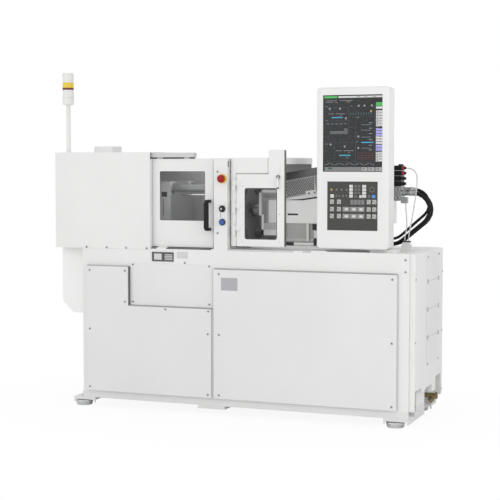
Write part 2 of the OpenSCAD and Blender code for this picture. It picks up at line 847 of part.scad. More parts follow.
module safety_gate() {
  color("white") place() {
    plate_xz(gate_y, gate_y + fold_t) difference() {
      translate([gate_l, gate_z]) square([gate_w, gate_top - gate_z]);
      round_rect(win_x, win_z, gate_win_c);
    }
    plate_xz(gate_y + fold_t - 0.01, gate_back) difference() {
      translate([gate_l, gate_z]) square([gate_w, gate_top - gate_z]);
      translate([gate_l + fold_t, gate_z + fold_t])
        square([gate_w - 2 * fold_t, gate_top - gate_z - 2 * fold_t]);
    }
    for (x = [gate_l + guide_w, gate_r - top_rail_in - 2 * guide_w])
      slab([x, gate_y + gate_t * 0.3, gate_top - cut],
        [x + guide_w, gate_back - gate_t * 0.3, gate_rail_z + top_rail_h / 2 - cut]);
  }
}

module gate_window() {
  lap = [-pane_lap, pane_lap];
  color("dimgray") place() plate_xz(gate_y + fold_t, gate_y + fold_t + pane_t)
    round_rect(win_x + lap, win_z + lap, gate_win_c);
}

module gate_handle() {
  x = gate_r - handle_in - handle_w;
  y = gate_y - handle_out;
  z = gate_z + handle_z;
  t = handle_t;
  color("black") place() plate_yz(x, x + handle_w) difference() {
    union() {
      translate([y, z + t]) square([handle_out, handle_h - 2 * t]);
      translate([y + t, z]) square([handle_out - t, handle_h]);
      for (k = [z + t, z + handle_h - t]) translate([y + t, k]) circle(r = t);
    }
    translate([y + t, z + t]) square([handle_out - t + cut, handle_h - 2 * t]);
  }
}

module clamp_cylinder() {
  w = platen_h;
  color("slategray") place() difference() {
    union() {
      slab([rear_x, axis_y - w, deck_z], [rear_r, axis_y + w, axis_z + w]);
      rod_x(ram_r + cylinder_t, ram_l - cylinder_t / 2, rear_x + cut, axis_y, axis_z);
    }
    rod_x(ram_r + run_gap, ram_l - move_gap, rear_r + cut, axis_y, axis_z);
    for (y = bar_y, z = bar_z) rod_x(bar_r + run_gap, rear_x - cut, rear_r + cut, y, z);
  }
}

module clamp_ram() {
  color("silver") place() rod_x(ram_r, ram_l, moving_l, axis_y, axis_z);
}

module tie_bars() {
  color("silver") place() for (y = bar_y, z = bar_z) {
    rod_x(bar_r, rear_x - nut_l - move_gap, fixed_r + nut_l + move_gap, y, z);
    rod_x(bar_r + nut_w, fixed_r, fixed_r + nut_l, y, z);
    rod_x(bar_r + nut_w, rear_x - nut_l, rear_x, y, z);
  }
}

// Mold bolt holes of one platen, from x0 to x1
module mold_holes(x0, x1) {
  for (y = [-1.5, -0.5, 0.5, 1.5], s = [-1, 1])
    rod_x(mold_r, x0, x1, axis_y + y * mold_pitch, axis_z + s * 2 * mold_pitch);
}

module moving_platen() {
  w = platen_h;
  color("gray") place() difference() {
    slab([moving_l, axis_y - w, axis_z - w], [moving_r, axis_y + w, axis_z + w]);
    for (y = bar_y, z = bar_z) rod_x(bar_r + run_gap, moving_l - cut, moving_r + cut, y, z);
    mold_holes(moving_r - mold_d, moving_r + cut);
  }
}

module fixed_platen() {
  w = platen_h;
  color("gray") place() difference() {
    slab([post_x, axis_y - w, deck_z], [fixed_r, axis_y + w, axis_z + w]);
    for (y = bar_y, z = bar_z) rod_x(bar_r + run_gap, post_x - cut, fixed_r + cut, y, z);
    rod_x(barrel_r * 1.4, post_x + fixed_t * 0.3, fixed_r + cut, axis_y, axis_z);
    rod_x(barrel_r * 0.4, post_x - cut, fixed_r, axis_y, axis_z);
    mold_holes(post_x - cut, post_x + mold_d);
  }
}

module operator_post() {
  bore = button_r - button_step + button_gap;
  color("white") place() difference() {
    slab([post_x, 0, deck_z], [post_r, post_d, post_t]);
    rod_y(stem_r + button_gap, button_cx, -cut, stem_l + 2 * stop_travel, stop_z);
    for (z = [selector_z, push_z]) rod_y(bore, button_cx, -cut, stem_l + 2 * push_travel, z);
  }
}

module stop_collar() {
  color("gold") place() difference() {
    rod_y(stop_r + bezel_w, button_cx, -collar_t, 0, stop_z);
    rod_y(stem_r + button_gap, button_cx, -collar_t - cut, cut, stop_z);
  }
}

module stop_button() {
  back = collar_t + stop_travel + 1;
  head = stop_out - stop_r * 0.35;
  color("red") place() turned_y(button_cx, 0, stop_z, concat([[0, -stem_l], [stem_r, -stem_l],
    [stem_r, back], [stop_r - 2, back], [stop_r, back + 2]], dome(stop_r, head, stop_out)));
}

module button_bezels() {
  color("black") place() for (z = [selector_z, push_z]) difference() {
    rod_y(button_r + bezel_w, button_cx, -bezel_t, 0, z);
    rod_y(button_r + button_gap, button_cx, -bezel_t - cut, -bezel_floor, z);
    rod_y(button_r - button_step + button_gap, button_cx, -bezel_t, cut, z);
  }
}

module selector_knob() {
  r = button_r;
  face = bezel_t + bezel_floor;
  color("black") place() {
    turned_y(button_cx, 0, selector_z, [[0, -stem_l], [r - button_step, -stem_l],
      [r - button_step, bezel_floor + seat_gap], [r, bezel_floor + seat_gap], [r, face - 1], [r - 1, face],
      [0, face]]);
    slab([button_cx - r * 0.22, -2 * face, selector_z - r * 0.85],
      [button_cx + r * 0.22, cut - face, selector_z + r * 0.85]);
  }
}

module push_button() {
  r = button_r;
  back = bezel_floor + push_travel + 1;
  face = back + bezel_t * 0.8;
  color("blue") place() turned_y(button_cx, 0, push_z, [[0, push_travel / 2 - stem_l],
    [r - button_step, push_travel / 2 - stem_l], [r - button_step, back], [r, back], [r, face - 1],
    [r - 1, face], [0, face]]);
}

module purge_door() {
  t = sheet_t;
  back = purge_y + purge_d;
  color("white") place() {
    plate_xz(purge_y, purge_y + t) difference() {
      polygon([[purge_l, purge_b], [purge_r, purge_b], [purge_r, tab_t], [purge_tab, tab_t],
        [purge_tab, purge_t], [purge_l, purge_t]]);
      round_rect(pane_x, pane_z, purge_win_c);
    }
    slab([purge_r - t, purge_y + t - 0.01, purge_b], [purge_r, back, tab_t]);
    slab([purge_l, purge_y + t - 0.01, purge_b], [purge_r - t + 0.01, back - purge_d / 4, purge_b + t]);
    slab([purge_l, purge_y + t - 0.01, purge_b], [purge_l + t, back - purge_d / 4, purge_t]);
    for (z = hinge_levels()) difference() {
      union() {
        rod_z(knuckle_r, hinge_x, hinge_y, z + hinge_h / 2 + seat_gap, z + hinge_h);
        slab([hinge_x, purge_y - leaf_t - hinge_clear, z + hinge_h / 2 + seat_gap],
          [hinge_x + leaf_w, purge_y, z + hinge_h]);
      }
      rod_z(pin_r + run_gap, hinge_x, hinge_y, z, z + hinge_h + cut);
    }
  }
}

module purge_window() {
  lap = [-pane_lap, pane_lap];
  color("dimgray") place() plate_xz(purge_y + sheet_t, purge_y + sheet_t + pane_t)
    round_rect(pane_x + lap, pane_z + lap, purge_win_c);
}

module purge_latch() {
  x = purge_r - latch_in;
  z = purge_t - latch_drop;
  w = latch_w / 2;
  color("silver") place() {
    plate_xz(purge_y - leaf_t, purge_y) round_rect([x - w, x + w], [z, z + latch_h], w * 0.8);
    rod_y(w * 0.8, x, purge_y - 3 * leaf_t, purge_y - leaf_t + 0.5, z + latch_h * 0.7);
    plate_xz(purge_y - 4 * leaf_t, purge_y - 2 * leaf_t)
      round_rect([x - w * 0.5, x + w * 0.5], [z + latch_h * 0.1, z + latch_h * 0.85], w * 0.45);
  }
}

module purge_hinges() {
  color("silver") place() for (z = hinge_levels()) {
    rod_z(pin_r, hinge_x, hinge_y, z + cut, z + hinge_h);
    rod_z(knuckle_r, hinge_x, hinge_y, z, z + hinge_h / 2);
    slab([hinge_x - knuckle_r, hinge_y, z], [hinge_x + leaf_t, strip_y, z + hinge_h / 2]);
  }
}

module purge_frame() {
  t = sheet_t;
  color("gray") place() {
    slab([post_r, frame_y, frame_t - t], [purge_r, frame_b, frame_t]);
    slab([post_r, frame_b - t, deck_z], [purge_r, frame_b, frame_t]);
    slab([purge_l, frame_y, frame_t - lip_h], [purge_r, frame_y + t, frame_t]);
    slab([purge_r - t, frame_y, frame_t - lip_h], [purge_r, frame_b, frame_t]);
    slab([purge_r - t, frame_b - lip_h / 2, frame_t - 2 * lip_h], [purge_r, frame_b, frame_t]);
    slab([post_r, frame_y, purge_b], [post_r + t, post_d, frame_t]);
  }
}

// Fixed sheet of the nozzle guard: plate above the door and rounded strip beside it
module purge_plate() {
  t = sheet_t;
  x0 = post_r + t;
  x1 = purge_l - move_gap;
  x2 = purge_tab - move_gap;
  end = strip_y + 2.5 * strip_r;
  bend = [x0 + strip_r, strip_y + strip_r];
  outer = [for (a = [180:10:270]) bend + strip_r * [cos(a), sin(a)]];
  inner = [for (a = [270:-10:180]) bend + (strip_r - t) * [cos(a), sin(a)]];
  color("white") place() {
    difference() {
      translate([0, 0, purge_b]) linear_extrude(height = frame_t - purge_b)
        polygon(concat([[x0, end]], outer, [[x1, strip_y], [x1, strip_y + t]], inner, [[x0 + t, end]]));
      slab([x0 - cut, frame_y, frame_t - t], [x0 + t + cut, end + cut, frame_t + cut]);
    }
    slab([x1 - cut, strip_y, purge_t + move_gap], [x2, strip_y + t, frame_t]);
    slab([x1 - strip_r / 2, strip_y, frame_t - t], [x2, frame_y, frame_t]);
  }
}

module injection_bed() {
  w = bed_w / 2;
  color("dimgray") place() {
    slab([bed_x, axis_y - w, deck_z], [bed_r, axis_y + w, deck_z + bed_h / 2]);
    for (y = [axis_y - w + slide_in, axis_y + w - slide_in - slide_w])
      slab([bed_x, y, deck_z + bed_h / 2 - cut], [bed_r, y + slide_w, bed_z]);
  }
}

module injection_saddle() {
  x = [carriage_x + saddle_in, bed_r - saddle_in / 2];
  color("dimgray") place() {
    slab([x[0], carriage_f + rib_d, bed_z], [x[1], carriage_b - rib_d, carriage_z]);
    for (u = [x[0] + saddle_in : rib_pitch : x[1] - rib_w])
      slab([u, carriage_f, bed_z], [u + rib_w, carriage_b, carriage_z]);
  }
}

module injection_carriage() {
  x = carriage_x + carriage_l / 6;
  color("lightgray") place() difference() {
    slab([carriage_x, carriage_f, carriage_z], [carriage_r, carriage_b, carriage_t]);
    slab([x, carriage_f - cut, axis_z - 2 * slot_h], [x + slot_w, carriage_f + 2 * slot_h, axis_z - slot_h]);
  }
}

module injection_barrel() {
  nozzle_x = fixed_r + sheet_t;
  barrel_x = nozzle_x + barrel_r;
  color("silver") place() {
    rod_x(barrel_r, barrel_x, carriage_x, axis_y, axis_z);
    translate([nozzle_x, axis_y, axis_z]) rotate([0, 90, 0])
      cylinder(h = barrel_r + cut, r1 = barrel_r * 0.3, r2 = barrel_r * 0.8);
    for (x = [carriage_x - heater_l - heater_t, carriage_x - 2 * heater_l - 3 * heater_t])
      rod_x(barrel_r + heater_t, x, x + heater_l, axis_y, axis_z);
  }
}

// Folded guard round the barrel, open below, with its rear part on the carriage
module nozzle_guard() {
  t = sheet_t;
  x = [carriage_x - nozzle_guard_l, carriage_x, plast_x - move_gap - nozzle_guard_top * tan(slope)];
  z = [carriage_z - nozzle_guard_over, carriage_t, carriage_t + nozzle_guard_top];
  color("lightgray") place() {
    for (y = [carriage_f, carriage_b - t])
      plate_xz(y, y + t) polygon([[x[0], z[0]], [x[1], z[0]], [x[1], z[1]], [x[2], z[1]], [x[2], z[2]],
        [x[0], z[2]]]);
    slab([x[0], carriage_f + cut, z[2] - t], [x[2], carriage_b - cut, z[2]]);
  }
}

module sloped() {
  translate([plast_x, 0, carriage_t]) rotate([0, -slope, 0]) children();
}

module plasticizing_tray() {
  w = plast_w / 2 + tray_rim;
  v = plast_w / 2 - tray_rim;
  x1 = plast_x + plast_l * cos(slope) * 0.8;
  x0 = x1 - strut_w;
  color("white") place() {
    sloped() slab([0, axis_y - w, 0], [plast_l, axis_y + w, tray_t]);
    plate_xz(axis_y - v, axis_y + v) polygon([[x0, carriage_t], [x1, carriage_t],
      [x1, carriage_t + (x1 - plast_x) * tan(slope) + cut],
      [x0, carriage_t + (x0 - plast_x) * tan(slope) + cut]]);
  }
}

module plasticizing_guard() {
  w = plast_w / 2;
  t = plast_h + tray_t;
  c = plast_c;
  color("gray") place() sloped() plate_yz(sheet_t, plast_l - drive_l)
    polygon([[axis_y - w, tray_t], [axis_y + w, tray_t], [axis_y + w, t - c], [axis_y + w - c, t],
      [axis_y - w + c, t], [axis_y - w, t - c]]);
}

module plasticizing_drive() {
  r = plast_h * 0.45;
  color("dimgray") place() sloped() {
    rod_x(r, plast_l - drive_l, plast_l - tray_t, axis_y, tray_t + plast_h / 2);
    slab([plast_l - drive_l, axis_y - r * 0.7, tray_t],
      [plast_l - 2 * tray_t, axis_y + r * 0.7, tray_t + plast_h / 4]);
  }
}

module hose_manifold() {
  out = manifold_r + fitting_l * 0.65;
  drop = routed(drop_path)[0];
  color("silver") place() {
    slab([manifold_l, manifold_f, carriage_t], [manifold_r, manifold_b, manifold_t]);
    for (p = [routed(front_path)[0], routed(rear_path())[0], routed(small_path)[0]]) {
      rod_x(hose_r + fitting_t / 3, manifold_r - cut, fitting_r, p[1], p[2]);
      rod_x(hose_r + fitting_t, out, fitting_r - fitting_t, p[1], p[2]);
    }
    slab([manifold_r - cut, drop[1] - hose_r, drop[2]],
      [drop[0] + hose_r, drop[1] + hose_r, drop[2] + 3 * hose_r]);
  }
}

module valve_block() {
  x = carriage_r - manifold_in * 0.6;
  y = [manifold_f + fitting_t, manifold_b - 4 * fitting_t];
  knob_y = routed(valve_path)[0][1];
  top = manifold_t + 3 * valve_pitch + valve_h;
  color("black") place() {
    slab([x, y[0], manifold_t], [x + valve_h, y[1], top]);
    for (k = [0:3]) {
      z = manifold_t + k * valve_pitch;
      slab([x, y[0], z], [manifold_r, y[1], z + valve_h]);
      rod_x(knob_r, manifold_r - cut, manifold_r + knob_l, knob_y, z + valve_h / 2);
    }
    for (u = [y[0] + 1.5 * knob_r : (y[1] - y[0] - 3 * knob_r) / 2 : y[1] - knob_r])
      rod_z(knob_r, manifold_r - 1.5 * knob_r, u, top - cut, top + knob_r);
  }
}

module deck_connectors() {
  a = last(routed(valve_path));
  b = last(routed(drop_path));
  w = connector_h;
  top = deck_z + junction_h;
  color("gray") place() {
    slab([port_l, manifold_f, deck_z], [port_r - stub_l, manifold_b, deck_z + port_h]);
    for (path = [front_path, rear_path(), small_path])
      rod_x(hose_r + fitting_t, port_r - stub_l - cut, port_r, last(routed(path))[1], last(routed(path))[2]);
    slab([b[0] - w, b[1] - w, deck_z], [a[0] + w, a[1] + w, top]);
    slab([b[0] - w * 0.6, b[1] - w * 0.6, top - cut], [a[0] + w * 0.6, a[1] + w * 0.6, a[2]]);
  }
}

module hose_front() {
  color("black") place() sweep(routed(front_path), hose_r);
}

module hose_rear() {
  color("black") place() sweep(routed(rear_path()), hose_r);
}

module hose_small() {
  color("black") place() sweep(routed(small_path), small_hose_r);
}

module tube_valve() {
  color("lightgray") place() sweep(routed(valve_path), tube_r, 8);
}

module tube_manifold() {
  color("lightgray") place() sweep(routed(drop_path), tube_r, 8);
}

module control_panel() {
  y = panel_y;
  c = panel_c;
  inset = [c, -c];
  border = [-border_w, border_w];
  color("white") place() difference() {
    hull() {
      plate_xz(y + c, y + panel_d) round_rect([panel_x, panel_e], [panel_z, panel_t], panel_r);
      plate_xz(y + c * 0.3, y + c)
        round_rect([panel_x, panel_e] + inset * 0.3, [panel_z, panel_t] + inset * 0.3, panel_r);
      plate_xz(y, y + c) round_rect([panel_x, panel_e] + inset, [panel_z, panel_t] + inset, panel_r - c / 2);
    }
    slab([screen_x[0], y - cut, screen_z[0]], [screen_x[1], y + recess_t, screen_z[1]]);
    slab([keypad_x[0], y - cut, keypad_z[0]], [keypad_x[1], y + recess_t, keypad_z[1]]);
    plate_xz(y - cut, y + border_d) round_rect(keypad_x + border, keypad_z + border, border_w / 2);
  }
  color("gray") place() translate([panel_e - entry_r, y + panel_d - cut, keypad_z[0] + keypad_h / 4])
    rotate([-90, 0, 0]) cylinder(h = entry_r + cut, r1 = entry_r, r2 = entry_r * 0.8);
}

module panel_screen() {
  y = panel_y + recess_t;
  color("darkslategray") place()
    slab([screen_x[0], y - sheet_in, screen_z[0]], [screen_x[1], y, screen_z[1]]);
}

module panel_keypad() {
  y = panel_y + recess_t;
  color("dimgray") place() slab([keypad_x[0], y - sheet_in, keypad_z[0]], [keypad_x[1], y, keypad_z[1]]);
}

module panel_stand() {
  y = panel_y + panel_d;
  x = panel_e - 2 * entry_r - stand_w - move_gap;
  color("white") place() {
    slab([x, y - stand_d * 1.5, deck_z], [panel_e + stand_w / 2, y + stand_d, deck_z + stand_foot]);
    slab([x, y, deck_z + stand_foot - cut], [x + stand_w, y + stand_d, panel_z + panel_h * 0.8]);
  }
}

bottom_rail();
base_cabinet();
left_front_door();
right_front_door();
screwed_panels();
outlet_plate();
right_end_cover();
water_strainer();
foot_brackets();
levelling_feet();
lower_end_cover();
clamp_front_cover();
clamp_end_cover();
clamp_roof();
rear_guard();
signal_tower();
signal_lens();
gate_rails();
safety_gate();
gate_window();
gate_handle();
clamp_cylinder();
clamp_ram();
tie_bars();
moving_platen();
fixed_platen();
operator_post();
stop_collar();
stop_button();
button_bezels();
selector_knob();
push_button();
purge_frame();
purge_plate();
purge_hinges();
purge_door();
purge_window();
purge_latch();
injection_bed();
injection_saddle();
injection_carriage();
injection_barrel();
nozzle_guard();
plasticizing_tray();
plasticizing_guard();
plasticizing_drive();
hose_manifold();
valve_block();
deck_connectors();
hose_front();
hose_rear();
hose_small();
tube_valve();
tube_manifold();
panel_stand();
control_panel();
panel_screen();
panel_keypad();
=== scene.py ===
import math
import bmesh
import bpy
from mathutils import Matrix, Vector


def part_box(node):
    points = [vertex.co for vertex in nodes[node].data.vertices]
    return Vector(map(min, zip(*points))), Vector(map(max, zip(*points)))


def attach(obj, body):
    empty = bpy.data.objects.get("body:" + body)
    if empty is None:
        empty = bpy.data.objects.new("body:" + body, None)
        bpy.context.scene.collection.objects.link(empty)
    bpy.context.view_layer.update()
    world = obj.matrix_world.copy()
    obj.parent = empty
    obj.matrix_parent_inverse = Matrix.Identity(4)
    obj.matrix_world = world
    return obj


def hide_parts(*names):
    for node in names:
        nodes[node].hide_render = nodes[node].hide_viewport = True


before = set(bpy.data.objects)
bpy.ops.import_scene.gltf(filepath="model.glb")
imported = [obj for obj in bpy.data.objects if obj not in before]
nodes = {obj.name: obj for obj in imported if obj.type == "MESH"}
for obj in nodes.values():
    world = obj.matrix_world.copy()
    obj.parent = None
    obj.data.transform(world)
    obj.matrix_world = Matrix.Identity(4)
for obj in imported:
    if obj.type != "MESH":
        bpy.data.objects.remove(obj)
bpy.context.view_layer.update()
scene = bpy.context.scene


# Drawing millimetres, counted from the floor under the front left corner of the base

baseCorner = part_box("base_cabinet")[0]
toRow = Matrix.Translation((baseCorner.x, baseCorner.y, 0)) @ Matrix.Scale(0.001, 4)


def at(x, y, z):  # drawing millimetres to metres in the row frame
    return toRow @ Vector((x, y, z))


def level(node, side):  # where one side of a model piece's box lies, in drawing millimetres
    low, high = [[round(part, 2) for part in toRow.inverted() @ corner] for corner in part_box(node)]
    return {"front": low[1], "back": high[1], "left": low[0], "right": high[0], "top": high[2]}[side]


# Camera, fitted to the photograph

camera = {"place": (3328.4, -6096.6, 1269.7), "turn": 21.342, "down": 3.687, "lens": 94.48,
          "sensor": 36, "reach": 100}

cameraData = bpy.data.cameras.new("photoCamera")
cameraData.lens = camera["lens"]
cameraData.sensor_width = camera["sensor"]
cameraData.clip_end = camera["reach"]
cameraObject = bpy.data.objects.new("photoCamera", cameraData)
cameraObject.location = at(*camera["place"])
cameraObject.rotation_euler = (math.radians(90 - camera["down"]), 0, math.radians(camera["turn"]))
scene.collection.objects.link(cameraObject)
scene.camera = cameraObject
print("camera set")


# Finishes

noiseLow, noiseHigh = 0.3, 0.7  # nearly all of a noise texture lies between these


def newFinish(name, colour, rough, metal=0.0, coat=0.0):
    material = bpy.data.materials.new(name)
    material.use_nodes = True
    tree = material.node_tree
    shader = tree.nodes["Principled BSDF"]
    shader.inputs["Base Color"].default_value = (*colour, 1)
    shader.inputs["Roughness"].default_value = rough
    shader.inputs["Metallic"].default_value = metal
    shader.inputs["Coat Weight"].default_value = coat
    material.diffuse_color = (*colour, 1)
    return material, tree, shader


def objectCoordinates(tree, stretch=(1, 1, 1), turn=(0, 0, 0)):
    source = tree.nodes.new("ShaderNodeTexCoord")
    mapping = tree.nodes.new("ShaderNodeMapping")
    mapping.inputs["Scale"].default_value = stretch
    mapping.inputs["Rotation"].default_value = turn
    tree.links.new(source.outputs["Object"], mapping.inputs["Vector"])
    return mapping.outputs["Vector"]


def noise(tree, vector, scale, detail=3.0, rough=0.5):
    texture = tree.nodes.new("ShaderNodeTexNoise")
    texture.inputs["Scale"].default_value = scale
    texture.inputs["Detail"].default_value = detail
    texture.inputs["Roughness"].default_value = rough
    tree.links.new(vector, texture.inputs["Vector"])
    return texture.outputs["Fac"]


def ramp(tree, factor, stops):
    node = tree.nodes.new("ShaderNodeValToRGB")
    elements = node.color_ramp.elements
    elements[0].position, elements[0].color = stops[0][0], (*stops[0][1], 1)
    elements[1].position, elements[1].color = stops[-1][0], (*stops[-1][1], 1)
    for place, colour in stops[1:-1]:
        elements.new(place).color = (*colour, 1)
    tree.links.new(factor, node.inputs["Fac"])
    return node.outputs["Color"]


def tint(tree, shader, factor, stops):  # the factor drives the colour
    tree.links.new(ramp(tree, factor, stops), shader.inputs["Base Color"])


def gloss(tree, shader, factor, low, high):  # the factor drives the roughness
    node = tree.nodes.new("ShaderNodeMapRange")
    node.inputs["From Min"].default_value = noiseLow
    node.inputs["From Max"].default_value = noiseHigh
    node.inputs["To Min"].default_value = low
    node.inputs["To Max"].default_value = high
    tree.links.new(factor, node.inputs["Value"])
    tree.links.new(node.outputs["Result"], shader.inputs["Roughness"])


def bump(tree, shader, height, strength, distance):
    node = tree.nodes.new("ShaderNodeBump")
    node.inputs["Strength"].default_value = strength
    node.inputs["Distance"].default_value = distance
    tree.links.new(height, node.inputs["Height"])
    tree.links.new(node.outputs["Normal"], shader.inputs["Normal"])


def tones(colour, spread):  # from a little darker to a little lighter
    def shade(share):
        return tuple(min(1.0, part * share) for part in colour)
    return [(noiseLow, shade(1 - spread)), (noiseHigh, shade(1 + spread))]


# Powder coat or moulded plastic: broad tone drift, fine grain in the gloss and in the surface
def coated(name, colour, rough, grain=700, depth=0.00012, drift=0.02, coat=0.0, shine=0.5):
    material, tree, shader = newFinish(name, colour, rough, coat=coat)
    shader.inputs["Specular IOR Level"].default_value = shine
    vector = objectCoordinates(tree)
    broad = noise(tree, vector, scale=2.6, detail=2)
    fine = noise(tree, vector, scale=grain, detail=2)
    tint(tree, shader, broad, tones(colour, drift))
    gloss(tree, shader, fine, low=rough - 0.05, high=rough + 0.07)
    bump(tree, shader, fine, strength=0.25, distance=depth)
    return material


# Worked metal: marks drawn out along one direction
def brushed(name, colour, rough, stretch, scale=90, spread=0.1, metal=1.0):
    material, tree, shader = newFinish(name, colour, rough, metal=metal)
    marks = noise(tree, objectCoordinates(tree, stretch), scale, detail=4, rough=0.6)
    tint(tree, shader, marks, tones(colour, spread))
    gloss(tree, shader, marks, low=rough - 0.06, high=rough + 0.1)
    bump(tree, shader, marks, strength=0.2, distance=0.0001)
    return material


whitePaint = coated("whitePaint", (0.80, 0.80, 0.795), 0.40)
# painted light: a lighter copy of the white paint for the lower end cover, whose sloped face catches more
# light
litCoverPaint = coated("litCoverPaint", (0.89, 0.89, 0.885), 0.42)
panelPaint = coated("panelPaint", (0.765, 0.765, 0.765), 0.44, grain=500, depth=0.0002)
bracketPaint = coated("bracketPaint", (0.74, 0.74, 0.735), 0.42)
outletGray = coated("outletGray", (0.085, 0.087, 0.09), 0.5, grain=1200)
towerWhite = coated("towerWhite", (0.82, 0.82, 0.81), 0.36, grain=1500)
railGray = coated("railGray", (0.60, 0.605, 0.61), 0.42)
blackPlastic = coated("blackPlastic", (0.018, 0.018, 0.02), 0.42, grain=1600, drift=0.1)
# painted light: a much lighter copy of the cast gray for the fixed platen, whose face lies in shade; the
# selector key uses it as a plain gray
fixedGray = coated("fixedGray", (0.62, 0.622, 0.625), 0.5, grain=220, depth=0.0006, drift=0.08)
castGray = coated("castGray", (0.13, 0.132, 0.135), 0.5, grain=220, depth=0.0006, drift=0.08)
platenGray = coated("platenGray", (0.84, 0.845, 0.85), 0.44, grain=260, depth=0.0005, drift=0.05)
saddleGray = coated("saddleGray", (0.46, 0.46, 0.455), 0.46, grain=300, depth=0.0004, drift=0.05)
bedPaint = coated("bedPaint", (0.86, 0.86, 0.855), 0.42, drift=0.04)
# painted shade: a darker gray for the sheet on the moving platen's shaded right face
platenShadeGray = coated("platenShadeGray", (0.47, 0.472, 0.476), 0.4, grain=320, depth=0.0003, drift=0.06)
frameGray = coated("frameGray", (0.40, 0.40, 0.395), 0.45, drift=0.05)
# painted light: a lighter copy of the white paint for the carriage and the trims round it, set back in shade
# under the panel
carriagePaint = coated("carriagePaint", (0.93, 0.93, 0.925), 0.42)
enclosurePaint = coated("enclosurePaint", (0.84, 0.84, 0.835), 0.45, drift=0.05)
sheetGray = coated("sheetGray", (0.44, 0.44, 0.435), 0.5, grain=900, drift=0.05)
hoodGray = coated("hoodGray", (0.13, 0.131, 0.133), 0.5, grain=900, drift=0.08)
handleBlack = coated("handleBlack", (0.008, 0.008, 0.009), 0.46, grain=1600, drift=0.1, shine=0.25)
guardDark = coated("guardDark", (0.035, 0.036, 0.037), 0.55, grain=900, drift=0.1)
edgeGray = coated("edgeGray", (0.13, 0.13, 0.118), 0.5, grain=900, drift=0.06)
sealRubber = coated("sealRubber", (0.045, 0.045, 0.046), 0.6, grain=1300, drift=0.1)
collarRed = coated("collarRed", (0.62, 0.05, 0.06), 0.35, grain=1500, drift=0.06)
lensRed = coated("lensRed", (0.16, 0.012, 0.010), 0.3, grain=1500, drift=0.08)
keypadGray = coated("keypadGray", (0.046, 0.045, 0.043), 0.5, grain=1800, drift=0.06)
stopYellow = coated("stopYellow", (0.80, 0.56, 0.02), 0.32, grain=1500, drift=0.05, coat=0.3)
stopRed = coated("stopRed", (0.34, 0.006, 0.010), 0.34, grain=1500, drift=0.06, shine=0.3)
buttonBlue = coated("buttonBlue", (0.030, 0.085, 0.36), 0.34, grain=1500, drift=0.06)
hoseRubber = coated("hoseRubber", (0.007, 0.007, 0.008), 0.5, grain=420, depth=0.0004, drift=0.15,
                    shine=0.16)
groundSteel = brushed("groundSteel", (0.60, 0.61, 0.62), 0.26, (0.6, 14, 14))
fittingSteel = brushed("fittingSteel", (0.46, 0.465, 0.47), 0.32, (16, 1.5, 1.5))
plateSteel = brushed("plateSteel", (0.56, 0.565, 0.57), 0.38, (14, 1.5, 1.5))
barSteel = brushed("barSteel", (0.40, 0.405, 0.41), 0.24, (0.6, 14, 14), spread=0.06, metal=0.45)
rodChrome = brushed("rodChrome", (0.86, 0.87, 0.88), 0.16, (0.6, 14, 14), spread=0.03)
footSteel = brushed("footSteel", (0.68, 0.685, 0.69), 0.2, (2, 2, 18))
plateDull = brushed("plateDull", (0.42, 0.42, 0.44), 0.42, (26, 1.5, 1.5), spread=0.18)
screwSteel = brushed("screwSteel", (0.46, 0.465, 0.47), 0.36, (10, 10, 10), scale=160)
paleScrew = brushed("paleScrew", (0.74, 0.745, 0.75), 0.34, (10, 10, 10), scale=160)


def makeBrass():  # dull casting with brown stains
    stained, clean, worn = (0.13, 0.10, 0.055), (0.33, 0.265, 0.14), (0.50, 0.42, 0.26)
    material, tree, shader = newFinish("strainerBrass", clean, rough=0.42, metal=0.85)
    vector = objectCoordinates(tree)
    stain = noise(tree, vector, scale=55, detail=5, rough=0.65)
    cast = noise(tree, vector, scale=900, detail=2)
    tint(tree, shader, stain, [(0.25, stained), (0.5, clean), (0.8, worn)])
    gloss(tree, shader, stain, low=0.34, high=0.56)
    bump(tree, shader, cast, strength=0.4, distance=0.0004)
    return material


def makeWindow(name, colour, alpha):  # tinted clear sheet with faint wipe marks
    material, tree, shader = newFinish(name, colour, rough=0.06)
    vector = objectCoordinates(tree, stretch=(3, 1, 1), turn=(0, 0.5, 0))
    wipes = noise(tree, vector, scale=14, detail=4, rough=0.6)
    tint(tree, shader, wipes, tones(colour, spread=0.08))
    gloss(tree, shader, wipes, low=0.04, high=0.11)
    shader.inputs["Alpha"].default_value = alpha
    return material


def makeLens():  # ribbed amber lens
    material, tree, shader = newFinish("amberLens", (0.78, 0.56, 0.05), rough=0.22)
    ribs = tree.nodes.new("ShaderNodeTexWave")
    ribs.bands_direction = "Z"
    ribs.inputs["Scale"].default_value = 95
    tree.links.new(objectCoordinates(tree), ribs.inputs["Vector"])
    tint(tree, shader, ribs.outputs["Fac"], [(0.0, (0.70, 0.44, 0.02)), (1.0, (0.82, 0.64, 0.08))])
    bump(tree, shader, ribs.outputs["Fac"], strength=0.5, distance=0.0008)
    shader.inputs["Subsurface Weight"].default_value = 0.15
    shader.inputs["Emission Color"].default_value = (0.8, 0.55, 0.04, 1)
    shader.inputs["Emission Strength"].default_value = 0.12
    return material


def makeTube():  # hazy clear plastic
    material, tree, shader = newFinish("clearTube", (0.70, 0.72, 0.74), rough=0.2)
    haze = noise(tree, objectCoordinates(tree), scale=60)
    tint(tree, shader, haze, [(noiseLow, (0.62, 0.64, 0.66)), (noiseHigh, (0.78, 0.80, 0.82))])
    gloss(tree, shader, haze, low=0.14, high=0.3)
    shader.inputs["Alpha"].default_value = 0.75
    return material


def makeScreen():  # dark glass with a little dust
    material, tree, shader = newFinish("screenGlass", (0.030, 0.031, 0.033), rough=0.22)
    shader.inputs["Specular IOR Level"].default_value = 0.3
    dust = noise(tree, objectCoordinates(tree), scale=190)
    tint(tree, shader, dust, [(0.40, (0.023, 0.024, 0.026)), (0.68, (0.043, 0.044, 0.046))])
    gloss(tree, shader, dust, low=0.18, high=0.3)
    return material


